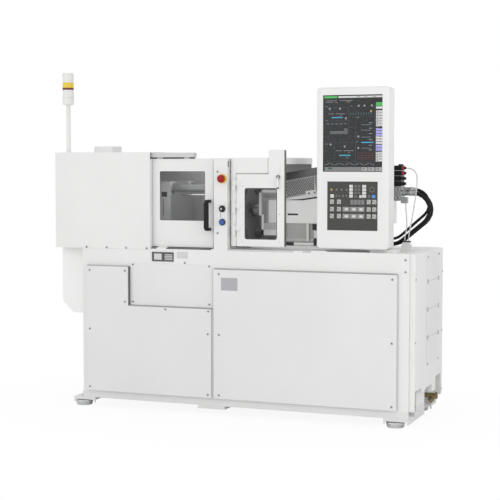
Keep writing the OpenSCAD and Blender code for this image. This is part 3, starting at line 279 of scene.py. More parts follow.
strainerBrass = makeBrass()
gateGlass = makeWindow("gateGlass", (0.17, 0.173, 0.176), 0.10)
nozzleGlass = makeWindow("nozzleGlass", (0.10, 0.102, 0.105), 0.03)
amberLens = makeLens()
clearTube = makeTube()
screenGlass = makeScreen()
print("finishes made")


# Hoses and tubes: each follows its own given route, its heights counted from the deck

deckTop = level("base_cabinet", "top")
rubberHose = {"finish": hoseRubber, "slot": "hose_rubber", "stiffness": "stiff"}
airTube = {"finish": clearTube, "slot": "tube_clear", "stiffness": "medium", "diameter": 6}
hoses = {
    "hose_front": {**rubberHose, "diameter": 20, "route": [
        (1705, 282, 284), (1710, 282, 284), (1735, 282, 280), (1758, 282, 268), (1776, 282, 250),
        (1788, 282, 227), (1791.8, 282, 202), (1788, 282, 177), (1776, 282, 154), (1762, 282, 138),
        (1706, 282, 92), (1650, 282, 46), (1634, 282, 36), (1616, 282, 30), (1598, 282, 28),
        (1580, 282, 28)]},
    "hose_small": {**rubberHose, "diameter": 14, "route": [
        (1705, 302, 302), (1712, 302, 302), (1733, 302, 299), (1753, 302, 289), (1769, 302, 274),
        (1779, 302, 255), (1784, 302, 234), (1782, 302, 213), (1774, 302, 193), (1760, 302, 176),
        (1701, 302, 124), (1642, 302, 72), (1627, 302, 62), (1611, 302, 56), (1594, 302, 54),
        (1580, 302, 54)]},
    "tube_valve": {**airTube, "route": [
        (1668, 292, 408), (1680, 292, 408), (1696, 291, 404), (1710, 289, 396), (1720, 286, 384),
        (1726, 282, 368), (1728, 278, 345), (1728, 272, 315), (1726, 266, 280), (1722, 259, 240),
        (1717, 252, 198), (1711, 246, 155), (1704, 241, 112), (1698, 238, 72), (1698, 238, 46)]},
    "tube_manifold": {**airTube, "route": [
        (1672, 276, 234), (1672, 276, 220), (1673, 275, 206), (1674, 274, 192), (1676, 272, 178),
        (1678, 269, 164), (1680, 265, 150), (1682, 260, 136), (1683, 255, 122), (1683, 250, 107),
        (1682, 245, 92), (1680, 241, 78), (1678, 238, 66), (1678, 238, 56), (1678, 238, 46)]},
}
hosePitch = 40  # from the front hose to the rear one
rearRoute = [(x, y + hosePitch, z) for x, y, z in hoses["hose_front"]["route"]]
hoses["hose_rear"] = {**hoses["hose_front"], "route": rearRoute}


def makeHose(name, hose):
    diameter = hose["diameter"] / 1000
    curve = bpy.data.curves.new(name + "_line", "CURVE")
    curve.dimensions = "3D"
    curve.bevel_depth = diameter / 2
    curve.bevel_resolution = 4
    curve.use_fill_caps = True
    points = [at(x, y, deckTop + z) for x, y, z in hose["route"]]
    line = curve.splines.new("POLY")
    line.points.add(len(points) - 1)
    for point, place in zip(line.points, points):
        point.co = (*place, 1)
    line.use_smooth = True
    curve.materials.append(hose["finish"])
    piece = bpy.data.objects.new(name + "_line", curve)
    scene.collection.objects.link(piece)
    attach(piece, "machine")
    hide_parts(name)


for name, hose in hoses.items():
    makeHose(name, hose)
print("hoses laid")


# Pieces that come from the model: a finish, then each piece with the width of its soft edge in millimetres

modelPieces = [
    (whitePaint, {"base_cabinet": 2, "right_end_cover": 2, "operator_post": 1.5, "plasticizing_tray": 1,
                  "panel_stand": 1, "control_panel": 0.8, "clamp_front_cover": 0.7, "clamp_end_cover": 0.7,
                  "clamp_roof": 0.7, "rear_guard": 0.7, "safety_gate": 0.7, "purge_plate": 0.6,
                  "purge_door": 0.6, "purge_latch": 0.6, "purge_hinges": 0.5}),
    (litCoverPaint, {"lower_end_cover": 3}),
    (panelPaint, {"left_front_door": 2, "right_front_door": 2, "screwed_panels": 0.6}),
    (bracketPaint, {"bottom_rail": 2, "foot_brackets": 1.5, "deck_connectors": 1}),
    (enclosurePaint, {"purge_frame": 0.6}),
    (carriagePaint, {"injection_carriage": 1.5}),
    (bedPaint, {"injection_bed": 1}),
    (saddleGray, {"injection_saddle": 1}),
    (platenGray, {"moving_platen": 1.5}),
    (fixedGray, {"fixed_platen": 1.5}),
    (castGray, {"clamp_cylinder": 2, "nozzle_guard": 0.6}),
    (frameGray, {"plasticizing_drive": 1}),
    (railGray, {"gate_rails": 0.8}),
    # painted shade: the guard body behind the perforated sheets is near black, so its holes read as the shaded
    # inside
    (guardDark, {"plasticizing_guard": 1}),
    (outletGray, {"outlet_plate": 0.5}),
    (groundSteel, {"clamp_ram": 1, "injection_barrel": 1}),
    (barSteel, {"tie_bars": 1}),
    (fittingSteel, {"hose_manifold": 0.8}),
    (footSteel, {"levelling_feet": 1}),
    (strainerBrass, {"water_strainer": 1}),
    (towerWhite, {"signal_tower": 0.8}),
    (amberLens, {"signal_lens": 0.5}),
    (gateGlass, {"gate_window": 0}),
    (nozzleGlass, {"purge_window": 0}),
    (handleBlack, {"gate_handle": 4, "valve_block": 1}),
    (blackPlastic, {"button_bezels": 0.6, "selector_knob": 0.6}),
    (stopYellow, {"stop_collar": 1}),
    (stopRed, {"stop_button": 0}),
    (buttonBlue, {"push_button": 0.6}),
    (screenGlass, {"panel_screen": 0.3}),
    (keypadGray, {"panel_keypad": 0.3}),
]


def softenEdges(piece, width):
    weld = piece.modifiers.new("joinTriangles", "WELD")
    weld.merge_threshold = 0.00001
    edge = piece.modifiers.new("softEdge", "BEVEL")
    edge.width = width / 1000
    edge.segments = 2
    edge.limit_method = "ANGLE"
    edge.angle_limit = math.radians(40)


for finish, widths in modelPieces:
    for name, width in widths.items():
        for materialSlot in nodes[name].material_slots:
            materialSlot.material = finish
        if width:
            softenEdges(nodes[name], width)
print("model pieces finished")


# Small shapes, all in drawing millimetres; finishPiece brings them to the row frame

facing = {"front": (0, -1, 0), "back": (0, 1, 0), "right": (1, 0, 0), "left": (-1, 0, 0)}
edgeSoft = 0.4  # soft edge of a strip or a wedge, where the piece gives none
whiteTrim = {"finish": whitePaint, "slot": "white_paint"}
rubberTrim = {"finish": sealRubber, "slot": "black_plastic"}
railTrim = {"finish": railGray, "slot": "rail_gray"}
frameTrim = {"finish": frameGray, "slot": "frame_gray"}
carriageTrim = {"finish": carriagePaint, "slot": "carriage_gray"}
blackTrim = {"finish": blackPlastic, "slot": "black_plastic"}


def finishPiece(bm, name, finishes, body, smooth=False):
    mesh = bpy.data.meshes.new(name)
    bmesh.ops.transform(bm, matrix=toRow, verts=bm.verts)
    bm.normal_update()
    for face in bm.faces:
        face.smooth = smooth
    bm.to_mesh(mesh)
    bm.free()
    for finish in finishes:
        mesh.materials.append(finish)
    piece = bpy.data.objects.new(name, mesh)
    scene.collection.objects.link(piece)
    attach(piece, body)


def turnTo(side, place):
    return Matrix.Translation(place) @ Vector(facing[side]).to_track_quat("Z", "Y").to_matrix().to_4x4()


def middle(low, high):
    return [(a + b) / 2 for a, b in zip(low, high)]


def join(bm, part, matrix=Matrix(), finish=None):
    if finish is not None:
        for face in part.faces:
            face.material_index = finish
    bmesh.ops.transform(part, matrix=matrix, verts=part.verts)
    mesh = bpy.data.meshes.new("joined")
    part.to_mesh(mesh)
    part.free()
    bm.from_mesh(mesh)
    bpy.data.meshes.remove(mesh)


def soften(part, geom, offset, steps=2, affect="EDGES"):
    bmesh.ops.bevel(part, geom=geom, offset=offset, offset_type="OFFSET", segments=steps,
                    profile=0.5, affect=affect, material=-1)


def cutOff(part, point, away):  # takes off what lies past a plane
    everything = part.verts[:] + part.edges[:] + part.faces[:]
    bmesh.ops.bisect_plane(part, geom=everything, plane_co=point, plane_no=away, clear_outer=True)


def block(low, high, soft=0.0):
    part = bmesh.new()
    bmesh.ops.create_cube(part, size=1)
    bmesh.ops.scale(part, vec=[b - a for a, b in zip(low, high)], verts=part.verts)
    bmesh.ops.translate(part, vec=middle(low, high), verts=part.verts)
    if soft:
        soften(part, part.edges[:], soft)
    return part


def plate(width, height, thick, corner, soft):  # rounded plate, its back on z = 0
    part = block((-width / 2, -height / 2, 0), (width / 2, height / 2, thick))
    upright = [edge for edge in part.edges if abs(edge.verts[0].co.z - edge.verts[1].co.z) > thick / 2]
    soften(part, upright, corner, steps=4)
    rim = [edge for edge in part.edges if all(vert.co.z > thick - 0.001 for vert in edge.verts)]
    soften(part, rim, soft)
    return part


def turned(profile, steps):  # (radius, height) pairs spun round z
    part = bmesh.new()
    line = [part.verts.new((radius, 0, height)) for radius, height in profile]
    edges = [part.edges.new(pair) for pair in zip(line, line[1:])]
    bmesh.ops.spin(part, geom=line + edges, cent=(0, 0, 0), axis=(0, 0, 1), angle=math.tau,
                   steps=steps, use_merge=True)
    bmesh.ops.remove_doubles(part, verts=part.verts, dist=0.0005)
    bmesh.ops.recalc_face_normals(part, faces=part.faces)
    return part


def makePieces(pieces):  # strips between two opposite corners, or a profile spun about its centre
    for name, piece in pieces.items():
        bm = bmesh.new()
        for low, high in piece.get("strips", []):
            join(bm, block(low, high, piece.get("soft", edgeSoft)))
        spun = "profile" in piece
        if spun:
            join(bm, turned(piece["profile"], piece["steps"]), turnTo(piece["side"], piece["centre"]))
        finishPiece(bm, name, [piece["finish"]], piece.get("body", "machine"), smooth=spun)


# Screws: round heads with a sunk drive, in rows on the faces of model pieces

def on(node, side, places):
    return side, level(node, side), places


screws = {
    "machine": {"radius": 6.4, "height": 3.0, "finish": screwSteel, "rows": [
        on("left_front_door", "front", [(52, 724), (258, 725), (257, 565), (488, 534), (727, 533), (51, 416),
                                        (725, 417), (49, 110), (724, 106)]),
        on("right_front_door", "front", [(x, z) for x in (785, 1685) for z in (724, 416, 108)]),
        on("screwed_panels", "front", [(297, 759), (726, 760), (726, 566), (297, 566)]),
        on("base_cabinet", "front", [(590, 774), (1745, 818), (1745, 760)]),
        on("operator_post", "front", [(771, 1239), (771, 930)]),
        on("clamp_front_cover", "front", [(x, 844) for x in (27, 145, 258, 376)]),
        on("right_end_cover", "right", [(y, z) for y in (14, 566) for z in (725, 419, 113)] + [(496, 822)]),
        on("screwed_panels", "right", [(y, z) for y in (246, 472)
                                       for z in (820, 704, 692, 564, 552, 424, 412, 286)]),
        on("operator_post", "right", [(45, z) for z in (1239, 1083, 930)]),
        on("base_cabinet", "right", [(36, 787), (101, 787)]),
        ("front", 191.4, [(1192, 1129), (1222, 1134)]),  # on the tab of the tray
        on("hose_manifold", "front", [(x, z) for x in (1618, 1638) for z in (1108, 1150)]),
        on("base_cabinet", "back", [(x, z) for x in (15, 882, 1749) for z in (728, 418, 108)]),
    ]},
    "nozzle_door": {"radius": 3.8, "height": 1.6, "finish": paleScrew, "rows": [
        ("front", 20, [(898, 1166), (897, 1029), (897, 890), (1095, 1028), (1095, 890)]),
    ]},
}
# shares of the radius and height of a head
screwShape = {"drive": 0.4, "floor": 0.3, "flare": 1.1, "crown": (0.72, 0.9), "dark": 1.06, "steps": 10}


def makeScrews(body):
    kind = screws[body]
    radius, height = kind["radius"], kind["height"]
    drive, floor = radius * screwShape["drive"], height * screwShape["floor"]
    crown = (radius * screwShape["crown"][0], height * screwShape["crown"][1])
    rim = (drive * screwShape["flare"], height)
    profile = [(0, floor), (drive, floor), rim, crown, (radius, floor), (radius, 0)]
    bm = bmesh.new()
    for side, depth, places in kind["rows"]:
        for across, z in places:
            head = turned(profile, screwShape["steps"])
            for face in head.faces:
                # the faces inside the sunk drive take the black finish: painted shade in the drive
                face.material_index = int(face.calc_center_median().xy.length < drive * screwShape["dark"])
            place = (across, depth, z) if side in ("front", "back") else (depth, across, z)
            join(bm, head, turnTo(side, place))
    finishPiece(bm, body + "Screws", [kind["finish"], blackPlastic], body)


makeScrews("machine")
makeScrews("nozzle_door")
print("screws set")


# Screen picture: plain tiles, places in millimetres from the top left of the glass

def grid(lefts, tops, width, height):  # equal tiles in rows and columns: left, top, right, bottom
    return [(left, top, left + width, top + height) for left in lefts for top in tops]


screen = {
    "left": level("panel_screen", "left"), "top": level("panel_screen", "top"),
    "front": level("panel_screen", "front"), "raise": 0.4, "ink": 0.15, "glow": 0.22,
    "colours": {
        "menuGreen": (0.06, 0.38, 0.09), "menuWhite": (0.54, 0.54, 0.54), "menuLilac": (0.34, 0.33, 0.66),
        "barCyan": (0.05, 0.32, 0.48), "barGray": (0.17, 0.17, 0.175), "keyGray": (0.30, 0.30, 0.30),
        "lineGray": (0.24, 0.245, 0.25), "lineDim": (0.085, 0.088, 0.09), "gridRed": (0.16, 0.05, 0.045),
        "tickTeal": (0.06, 0.16, 0.17), "barOrange": (0.40, 0.27, 0.06), "inkDark": (0.06, 0.06, 0.062),
    },
    "tiles": {
        "menuGreen": [(6, 5, 72, 15), (267, 38, 299, 55), (28, 351, 46, 358)],
        "menuWhite": [(78, 6, 298, 14), (267, 58, 298, 69)] + grid([267], range(77, 150, 13), 31, 11)
        + grid([267], range(201, 236, 13), 31, 11) + grid([267], range(275, 318, 12), 31, 10),
        "menuLilac": grid([267], range(162, 194, 13), 31, 11) + grid([267], (242, 257), 31, 13),
        "barCyan": [(44, 106, 101, 111), (194, 227, 255, 232), (83, 289, 141, 294)],
        "barGray": [(9, 348, 192, 368)],
        "keyGray": grid((194, 229, 265), [349], 32, 18),
        "lineGray": [
            (16, 26, 70, 28), (84, 26, 150, 28), (16, 33, 50, 35), (60, 35, 74, 37), (118, 33, 140, 35),
            (36, 176, 106, 178), (108, 163, 124, 164.6), (28, 90, 56, 92), (64, 90, 112, 92),
            (86, 97, 96, 99), (66, 268, 96, 270), (104, 268, 156, 270), (128, 276, 136, 278),
            (118, 302, 130, 304), (14, 54, 26, 56), (138, 53, 148, 55), (14, 120, 24, 122), (14, 236, 24, 238),
            (168, 225, 180, 227), (170, 108, 182, 110)]
        + grid([194], (144, 170, 203, 256), 50, 1.6) + grid((18, 40, 62, 84, 106), [138], 14, 2)
        + grid([232], (134, 160, 186, 214, 242, 264), 16, 3),
        "lineDim": [
            (36, 178.4, 106, 188), (107, 165, 125, 190), (12, 60, 128, 60.8), (12, 124, 128, 124.8),
            (130, 50, 130.8, 210), (165, 104, 165.8, 322), (165, 104, 258, 104.8), (12, 230, 160, 230.8),
            (60, 230, 60.8, 322), (12, 322, 258, 322.8), (258, 40, 258.8, 345)],
        "gridRed": grid([177], (280, 291, 302, 309), 75, 1.2)
        + grid((177, 196, 214, 233, 251), [280], 0.8, 30),
        "tickTeal": grid(range(139, 250, 13), [86], 2.4, 10),
        "inkDark": grid([272], range(80, 316, 13), 6, 4) + grid([284], range(84, 316, 13), 8, 2)
        + grid((200, 236, 272), [355], 12, 4) + grid((170, 206, 250), [9], 18, 2),
    },
    "dots": {
        "lineGray": [(180, 53), (209, 53), (246, 53), (34, 66), (86, 66), (116, 113), (39, 239), (111, 249),
                     (179, 201), (179, 256)],
        "barOrange": [(242, 80)],
    },
    "dotProfile": [(0, 0.4), (4.4, 0.4), (5.2, 0.2), (5.2, 0)], "dotSteps": 12,
    "strokes": {"count": 10, "start": (22, 334), "step": 25, "half": (11, 0.9), "lean": 24},
}


def lit(name, colour):  # a tile of the screen, faintly lit from behind
    material, tree, shader = newFinish(name, colour, rough=0.3)
    tint(tree, shader, noise(tree, objectCoordinates(tree), scale=900, detail=1), tones(colour, spread=0.06))
    shader.inputs["Emission Color"].default_value = (*colour, 1)
    shader.inputs["Emission Strength"].default_value = screen["glow"]
    return material


def makeScreenPicture():
    bm = bmesh.new()
    order = list(screen["colours"])
    leftX, topZ, glass = screen["left"], screen["top"], screen["front"]
    front = glass - screen["raise"]
    for name, tiles in screen["tiles"].items():
        lift = screen["ink"] if name == "inkDark" else 0
        for left, top, right, bottom in tiles:
            tile = block((leftX + left, front - lift, topZ - bottom), (leftX + right, glass, topZ - top))
            join(bm, tile, finish=order.index(name))
    for name, dots in screen["dots"].items():
        for across, down in dots:
            dot = turned(screen["dotProfile"], screen["dotSteps"])
            join(bm, dot, turnTo("front", (leftX + across, glass, topZ - down)), order.index(name))
    strokes = screen["strokes"]
    halfLong, halfHigh = strokes["half"]
    for count in range(strokes["count"]):  # slanted strokes of the lower graph
        stroke = block((-halfLong, front, -halfHigh), (halfLong, glass, halfHigh))
        lean = Matrix.Rotation(math.radians(strokes["lean"] if count % 2 else -strokes["lean"]), 4, "Y")
        across, down = strokes["start"][0] + count * strokes["step"], strokes["start"][1]
        join(bm, stroke, Matrix.Translation((leftX + across, 0, topZ - down)) @ lean, order.index("lineGray"))
    finishes = [lit(name, colour) for name, colour in screen["colours"].items()]
    finishPiece(bm, "screenPicture", finishes, "machine")


makeScreenPicture()
print("screen picture made")


# Keypad keys, places in millimetres from the top left of the keypad

keypad = {
    "left": level("panel_keypad", "left"), "top": level("panel_keypad", "top"),
    "front": level("panel_keypad", "front"), "raise": 1.6, "soft": 0.9, "corner": 2.2, "ink": 0.2,
    "finishes": {  # colour and roughness
        "keyWhite": ((0.66, 0.66, 0.65), 0.4), "keyMid": ((0.14, 0.14, 0.138), 0.42),
        "keyPale": ((0.47, 0.47, 0.465), 0.42), "keyWide": ((0.29, 0.29, 0.287), 0.42),
        "markDark": ((0.05, 0.05, 0.05), 0.5), "keyStrip": ((0.20, 0.20, 0.198), 0.42),
        "keyYellow": ((0.42, 0.32, 0.05), 0.4), "keyBlue": ((0.07, 0.30, 0.70), 0.36),
    },
    "keys": {
        "keyWhite": grid([112], (16, 32, 48, 64), 18, 14) + grid([177], (16, 32, 48, 64), 20, 14)
        + [(162, 66, 175, 79), (16, 62, 34, 79)],
        "keyMid": grid((137, 154), (17, 33, 49), 14, 12) + [(137, 66, 151, 78)]
        + grid((43, 68, 94), [34], 10, 12) + grid((42, 58, 76, 94), [64], 9, 12) + [(206, 65, 218, 78)],
        "keyPale": grid((14, 50, 200, 228), (88, 124, 158), 20, 21),
        "keyWide": grid((79, 117, 154), (123, 157), 35, 23),
        "keyStrip": grid((118, 136, 154, 172), [88], 16, 24),
        "keyYellow": [(17, 34, 26, 46)],
        "keyBlue": [(226, 65, 243, 79)],
    },
    "marks": {  # plain printed bars on the keys
        "markDark": grid((16, 52, 202, 230), (95, 131, 165), 8, 3)
        + grid((25, 61, 211, 239), (101, 137, 171), 6, 3),
        "keyWhite": grid((90, 128, 164), (129, 163), 16, 11),
    },
    "arrows": {"centre": (226, 38), "size": (17.25, 4.5), "corner": 1.2, "out": 10.8},
}


def makeKeys():
    bm = bmesh.new()
    order = list(keypad["finishes"])
    leftX, topZ, front, rise = keypad["left"], keypad["top"], keypad["front"], keypad["raise"]
    for name, keys in keypad["keys"].items():
        for left, top, right, bottom in keys:
            key = plate(right - left, bottom - top, rise, keypad["corner"], keypad["soft"])
            across, down = middle((left, top), (right, bottom))
            join(bm, key, turnTo("front", (leftX + across, front, topZ - down)), order.index(name))
    for name, bars in keypad["marks"].items():
        for left, top, right, bottom in bars:
            low = (leftX + left, front - rise - keypad["ink"], topZ - bottom)
            high = (leftX + right, front - rise + keypad["ink"], topZ - top)
            join(bm, block(low, high), finish=order.index(name))
    arrows = keypad["arrows"]
    across, down = arrows["centre"]
    centre = turnTo("front", (leftX + across, front, topZ - down))
    for quarter in range(4):  # four arrow keys set in a diamond
        key = plate(*arrows["size"], rise, arrows["corner"], keypad["soft"])
        swing = Matrix.Rotation(math.radians(45 + 90 * quarter), 4, "Z")
        join(bm, key, centre @ swing @ Matrix.Translation((0, arrows["out"], 0)), order.index("keyMid"))
    finishes = [coated(name, *finish, grain=1800) for name, finish in keypad["finishes"].items()]
    finishPiece(bm, "keypadKeys", finishes, "machine")


makeKeys()
print("keypad keys made")


# Perforated sheets over the plasticizing unit

perforated = {"pitch": 9.6, "web": 2.2, "thick": 0.8, "stand": 0.6, "round": 0.29}


def perforatedSheet(width, height):  # staggered eight-sided holes with a plain border, centred on the origin
    pitch, web = perforated["pitch"], perforated["web"]
    part = bmesh.new()
    reach = math.hypot(width, height) / 2 + pitch
    cells = int(2 * reach / pitch)
    bmesh.ops.create_grid(part, x_segments=cells, y_segments=cells, size=cells * pitch / 2)
    bmesh.ops.rotate(part, cent=(0, 0, 0), matrix=Matrix.Rotation(math.radians(45), 3, "Z"), verts=part.verts)
    for x, y in ((width, 0), (-width, 0), (0, height), (0, -height)):
        out = Vector((x, y, 0))
        cutOff(part, out / 2, out.normalized())
    whole = [face for face in part.faces if face.calc_area() > pitch * pitch * 0.99]  # uncut cells
    bmesh.ops.inset_individual(part, faces=whole, thickness=web)
    corners = list(dict.fromkeys(vert for face in whole for vert in face.verts))
    soften(part, corners, (pitch - 2 * web) * perforated["round"], steps=1, affect="VERTICES")
    holes = [face for face in part.faces if len(face.verts) == 8]
    bmesh.ops.delete(part, geom=holes, context="FACES")
    bmesh.ops.solidify(part, geom=part.faces[:], thickness=perforated["thick"])
    return part


plasticizer = {  # along the slope from the pivot: start and end, low and high, chamfer of the hood
    "pivot": (1065, 0, level("injection_carriage", "top")), "slope": 10, "start": 3, "end": 334.9,
    "low": 10, "high": 138, "chamfer": 40, "gap": 1, "corner": 2, "soft": 0.2,
    "front": level("plasticizing_guard", "front"), "back": level("plasticizing_guard", "back"),
}


def makePlasticizerGuard():
    unit = plasticizer
    slope = Matrix.Translation(unit["pivot"]) @ Matrix.Rotation(math.radians(-unit["slope"]), 4, "Y")
    length, halfway = unit["end"] - unit["start"] - unit["gap"], (unit["end"] + unit["start"]) / 2
    half, axis = (unit["back"] - unit["front"]) / 2, (unit["back"] + unit["front"]) / 2
    high, chamfer = unit["high"], unit["chamfer"]
    side = high - chamfer - unit["low"]
    faces = [  # tilt, distance from the axis, height and width
        (0, half, unit["low"] + side / 2, side),
        (45, half - chamfer / 2, high - chamfer / 2, chamfer * math.sqrt(2)),
        (90, 0, high, 2 * (half - chamfer)),
    ]
    bm = bmesh.new()
    for hand in (1, -1):  # the front half with the top, then the back half
        for tilt, out, rise, width in faces if hand == 1 else faces[:2]:
            turn = Matrix.Rotation(math.radians(90 - tilt) * hand, 4, "X")
            place = slope @ Matrix.Translation((halfway, axis - hand * out, rise)) @ turn
            across = width - unit["gap"]
            if tilt:  # the hood's slopes and top are plain sheets
                join(bm, plate(length, across, perforated["thick"], unit["corner"], unit["soft"]), place, 1)
            else:
                stand = Matrix.Translation((0, 0, perforated["stand"]))
                join(bm, perforatedSheet(length, across), place @ stand, 0)
    bmesh.ops.recalc_face_normals(bm, faces=bm.faces)
    finishPiece(bm, "plasticizerSheet", [sheetGray, hoodGray], "machine")


makePlasticizerGuard()
print("perforated sheets made")


# Painted shade along the door edges, the door joints, the deck sill and the gate's gaps; beads that catch the
# light, the gate's grip and shoe

seals = {
    # painted shade: a dark strip on the left door's step edge, for the shaded edge and the gap beside it
    "doorEdgeShade": {"finish": edgeGray, "slot": "black_plastic", "strips": [
        ((275.2, -18.2, 548), (279.6, -3.2, 746))]},
    # painted shade: gray bands for the shade beside the right door's right edge and in the gap between the
    # doors
    "doorSideShade": {**railTrim, "strips": [
        ((1706.2, -4, 90), (1713, 0.1, 746)), ((741.3, -10, 90), (754.7, -0.1, 543))]},
    # painted shade: gray lines for the shade under the doors' top edges and along the left door's step
    "doorTopShade": {**frameTrim, "strips": [
        ((32, -15, 746.2), (275, -0.2, 750)), ((755, -15, 746.2), (1706, -0.2, 750)),
        ((276, -14, 543.2), (741, -0.2, 547.6))]},
    # painted shadow: black strips on the deck edge for the shadow under the gate and the cover
    "sillShade": {**rubberTrim, "soft": 0.2, "strips": [  # on the deck edge
        ((398, -0.7, 843), (430, 0.2, 848.2)), ((485, -0.7, 843), (736, 0.2, 848.2))]},
    "foldBeads": {**whiteTrim, "soft": 1.0, "strips": [
        ((741, -2.4, 751.5), (1763, -0.1, 757)), ((281, -5, 548.6), (740, -3, 554))]},
    # painted shade: black strips filling the gaps under the gate and under the top rail
    "gateGapShade": {**rubberTrim, "strips": [  # under the gate and the top rail
        ((398, 20, 848), (430, 30.6, 852.2)), ((485, 20, 848), (735, 30.6, 852.2)),
        ((396, 43.6, 1304.6), (627, 47.6, 1311.2))]},
    "handleGrip": {"finish": handleBlack, "slot": "black_plastic", "soft": 5.0, "body": "gate", "strips": [
        ((704.5, -27.8, 950), (728, -8.2, 1085))]},
    "gateShoe": {**whiteTrim, "soft": 1.2, "strips": [((431, 15, 848), (484, 22.8, 853.6))]},
}

makePieces(seals)
print("seals laid")


# Behind the gate window: rings round the bars, marks of the moving platen, a darker sheet on its right face as
# painted shade, and a bright chrome rod standing in for the tie bar's highlight

barRings = {"y": (185, 415), "z": (920, 1150), "steps": 32,
            "profile": [(23, 0), (33, 0), (33, 5), (31, 7), (23, 7), (23, 0)]}
moldSpace = {
    "platenMarks": {**rubberTrim, "soft": 0.2, "body": "platen", "strips": [
        ((391, 149.2, 1106), (422, 150.2, 1132)), ((399, 149.5, 1004), (402, 150.2, 1096))]},
    # painted shade: a darker sheet on the moving platen's right face, for the shade that falls on that face
    "platenShadeFace": {"finish": platenShadeGray, "slot": "cast_gray", "soft": 0.3, "body": "platen", "strips": [
        ((439.8, 152, 955), (441.2, 448, 1116)), ((439.8, 220, 1116), (441.2, 380, 1186))]},
    # painted highlight: a bright chrome rod put where the tie bar shows a highlight line
    "highlightRod": {"finish": rodChrome, "slot": "ground_steel", "side": "left", "centre": (770, 140.2, 1118),
                "profile": [(0, 0), (3.2, 0), (4, 0.8), (4, 261), (3.2, 262), (0, 262)], "steps": 16},
    "rodClamp": {"finish": castGray, "slot": "cast_gray", "soft": 1.0, "strips": [
        ((752, 134, 1108), (774, 150.2, 1128))]},
}


def makeBarRings():
    bm = bmesh.new()
    platenRight = level("moving_platen", "right")
    for y in barRings["y"]:
        for z in barRings["z"]:
            join(bm, turned(barRings["profile"], barRings["steps"]), turnTo("right", (platenRight, y, z)))
    finishPiece(bm, "barRings", [plateSteel], "platen")


makeBarRings()
makePieces(moldSpace)
print("mold space detailed")


# Operator post: slot on its side, mark and ticks round the selector, grip ring and key face on the devices

operatorDevices = {
    "postMarks": {**rubberTrim, "soft": 0.1, "strips": [
        ((822.9, 10, 1262), (823.5, 19, 1292)), ((786.3, -0.5, 1009), (788, 0.1, 1034)),
        ((782, -0.5, 1070), (787, 0.1, 1072)), ((806, -0.5, 1070), (811, 0.1, 1072))]},
    "stopGrip": {"finish": stopRed, "slot": "stop_red", "body": "stop", "side": "front",
                 "centre": (797, 0, 1203),
                 "profile": [(8.6, 25.5), (8.9, 27.6), (11.2, 27.3), (12, 25.2), (8.6, 25.5)], "steps": 32},
    "selectorKey": {"finish": fixedGray, "slot": "fitting_steel", "body": "selector", "side": "front",
                    "centre": (797, -15.8, 1052), "steps": 20, "profile": [
                        (0, 0.3), (1.2, 0.3), (1.3, 0.9), (4.4, 0.9), (5, 0.3), (5, -0.6), (0, -0.6)]},
}

makePieces(operatorDevices)
print("operator devices detailed")


# Window gaskets, then the nozzle guard door's dark edge, the lips behind its gaps and its latch

gaskets = {
    "gateGasket": {"low": (438.3, 988.3), "high": (689.7, 1239.7), "front": 28.4, "thick": 2.4, "width": 2.0,
                   "corner": 5, "soft": 0.2, "finish": edgeGray, "body": "gate"},
    "nozzleGasket": {"low": (909.3, 900.3), "high": (1081.7, 1156.7), "front": 20.4, "thick": 2.4,
                     "width": 2.6, "corner": 12, "soft": 0.2, "finish": sealRubber, "body": "nozzle_door"},
}
nozzleDoor = {
    "nozzleDoorEdge": {"finish": edgeGray, "slot": "frame_gray", "soft": 0.15, "body": "nozzle_door",
                       "strips": [((1119.9, 23.5, 866), (1120.5, 50.5, 1345))]},
    "latchFoot": {**rubberTrim, "body": "nozzle_door", "strips": [((1084, 3.6, 1154), (1096, 8, 1161))]},
    "latchRing": {"finish": guardDark, "slot": "black_plastic", "body": "nozzle_door", "side": "front",
                  "centre": (1090, 16, 1212), "steps": 24, "profile": [
                      (6.2, -1), (6.2, 3.6), (7.4, 4.4), (9.4, 3.6), (9.8, 1), (9.8, -1), (6.2, -1)]},
    "doorLips": {**whiteTrim, "strips": [
        ((1027, 27.9, 1232), (1045, 30, 1307)), ((852, 27.9, 866), (864, 30, 1226))]},
    "latchBoss": {**blackTrim, "body": "nozzle_door", "side": "front",
                  "centre": (1090, 15, 1200), "steps": 20,
                  "profile": [(0, 10), (5.2, 10), (6.2, 9.2), (6.4, 0), (0, 0)]},
}


def makeGasket(name, gasket):
    low, high, thick = gasket["low"], gasket["high"], gasket["thick"]
    part = plate(high[0] - low[0], high[1] - low[1], thick, gasket["corner"], gasket["soft"])
    caps = sorted(part.faces, key=lambda face: face.calc_area())[-2:]  # the flat front and back
    bmesh.ops.inset_individual(part, faces=caps, thickness=gasket["width"])
    loops = [edge for face in caps for edge in face.edges]
    bmesh.ops.delete(part, geom=caps, context="FACES_ONLY")
    bmesh.ops.bridge_loops(part, edges=loops)
    x, z = middle(low, high)
    bm = bmesh.new()
    join(bm, part, turnTo("front", (x, gasket["front"] + thick, z)))
    bmesh.ops.recalc_face_normals(bm, faces=bm.faces)
    finishPiece(bm, name, [gasket["finish"]], gasket["body"])


for name, gasket in gaskets.items():
    makeGasket(name, gasket)
makePieces(nozzleDoor)
print("nozzle guard door detailed")


# Injection unit: sheets round the barrel, tray skirt, bracket and tab, shoes and holders under the carriage

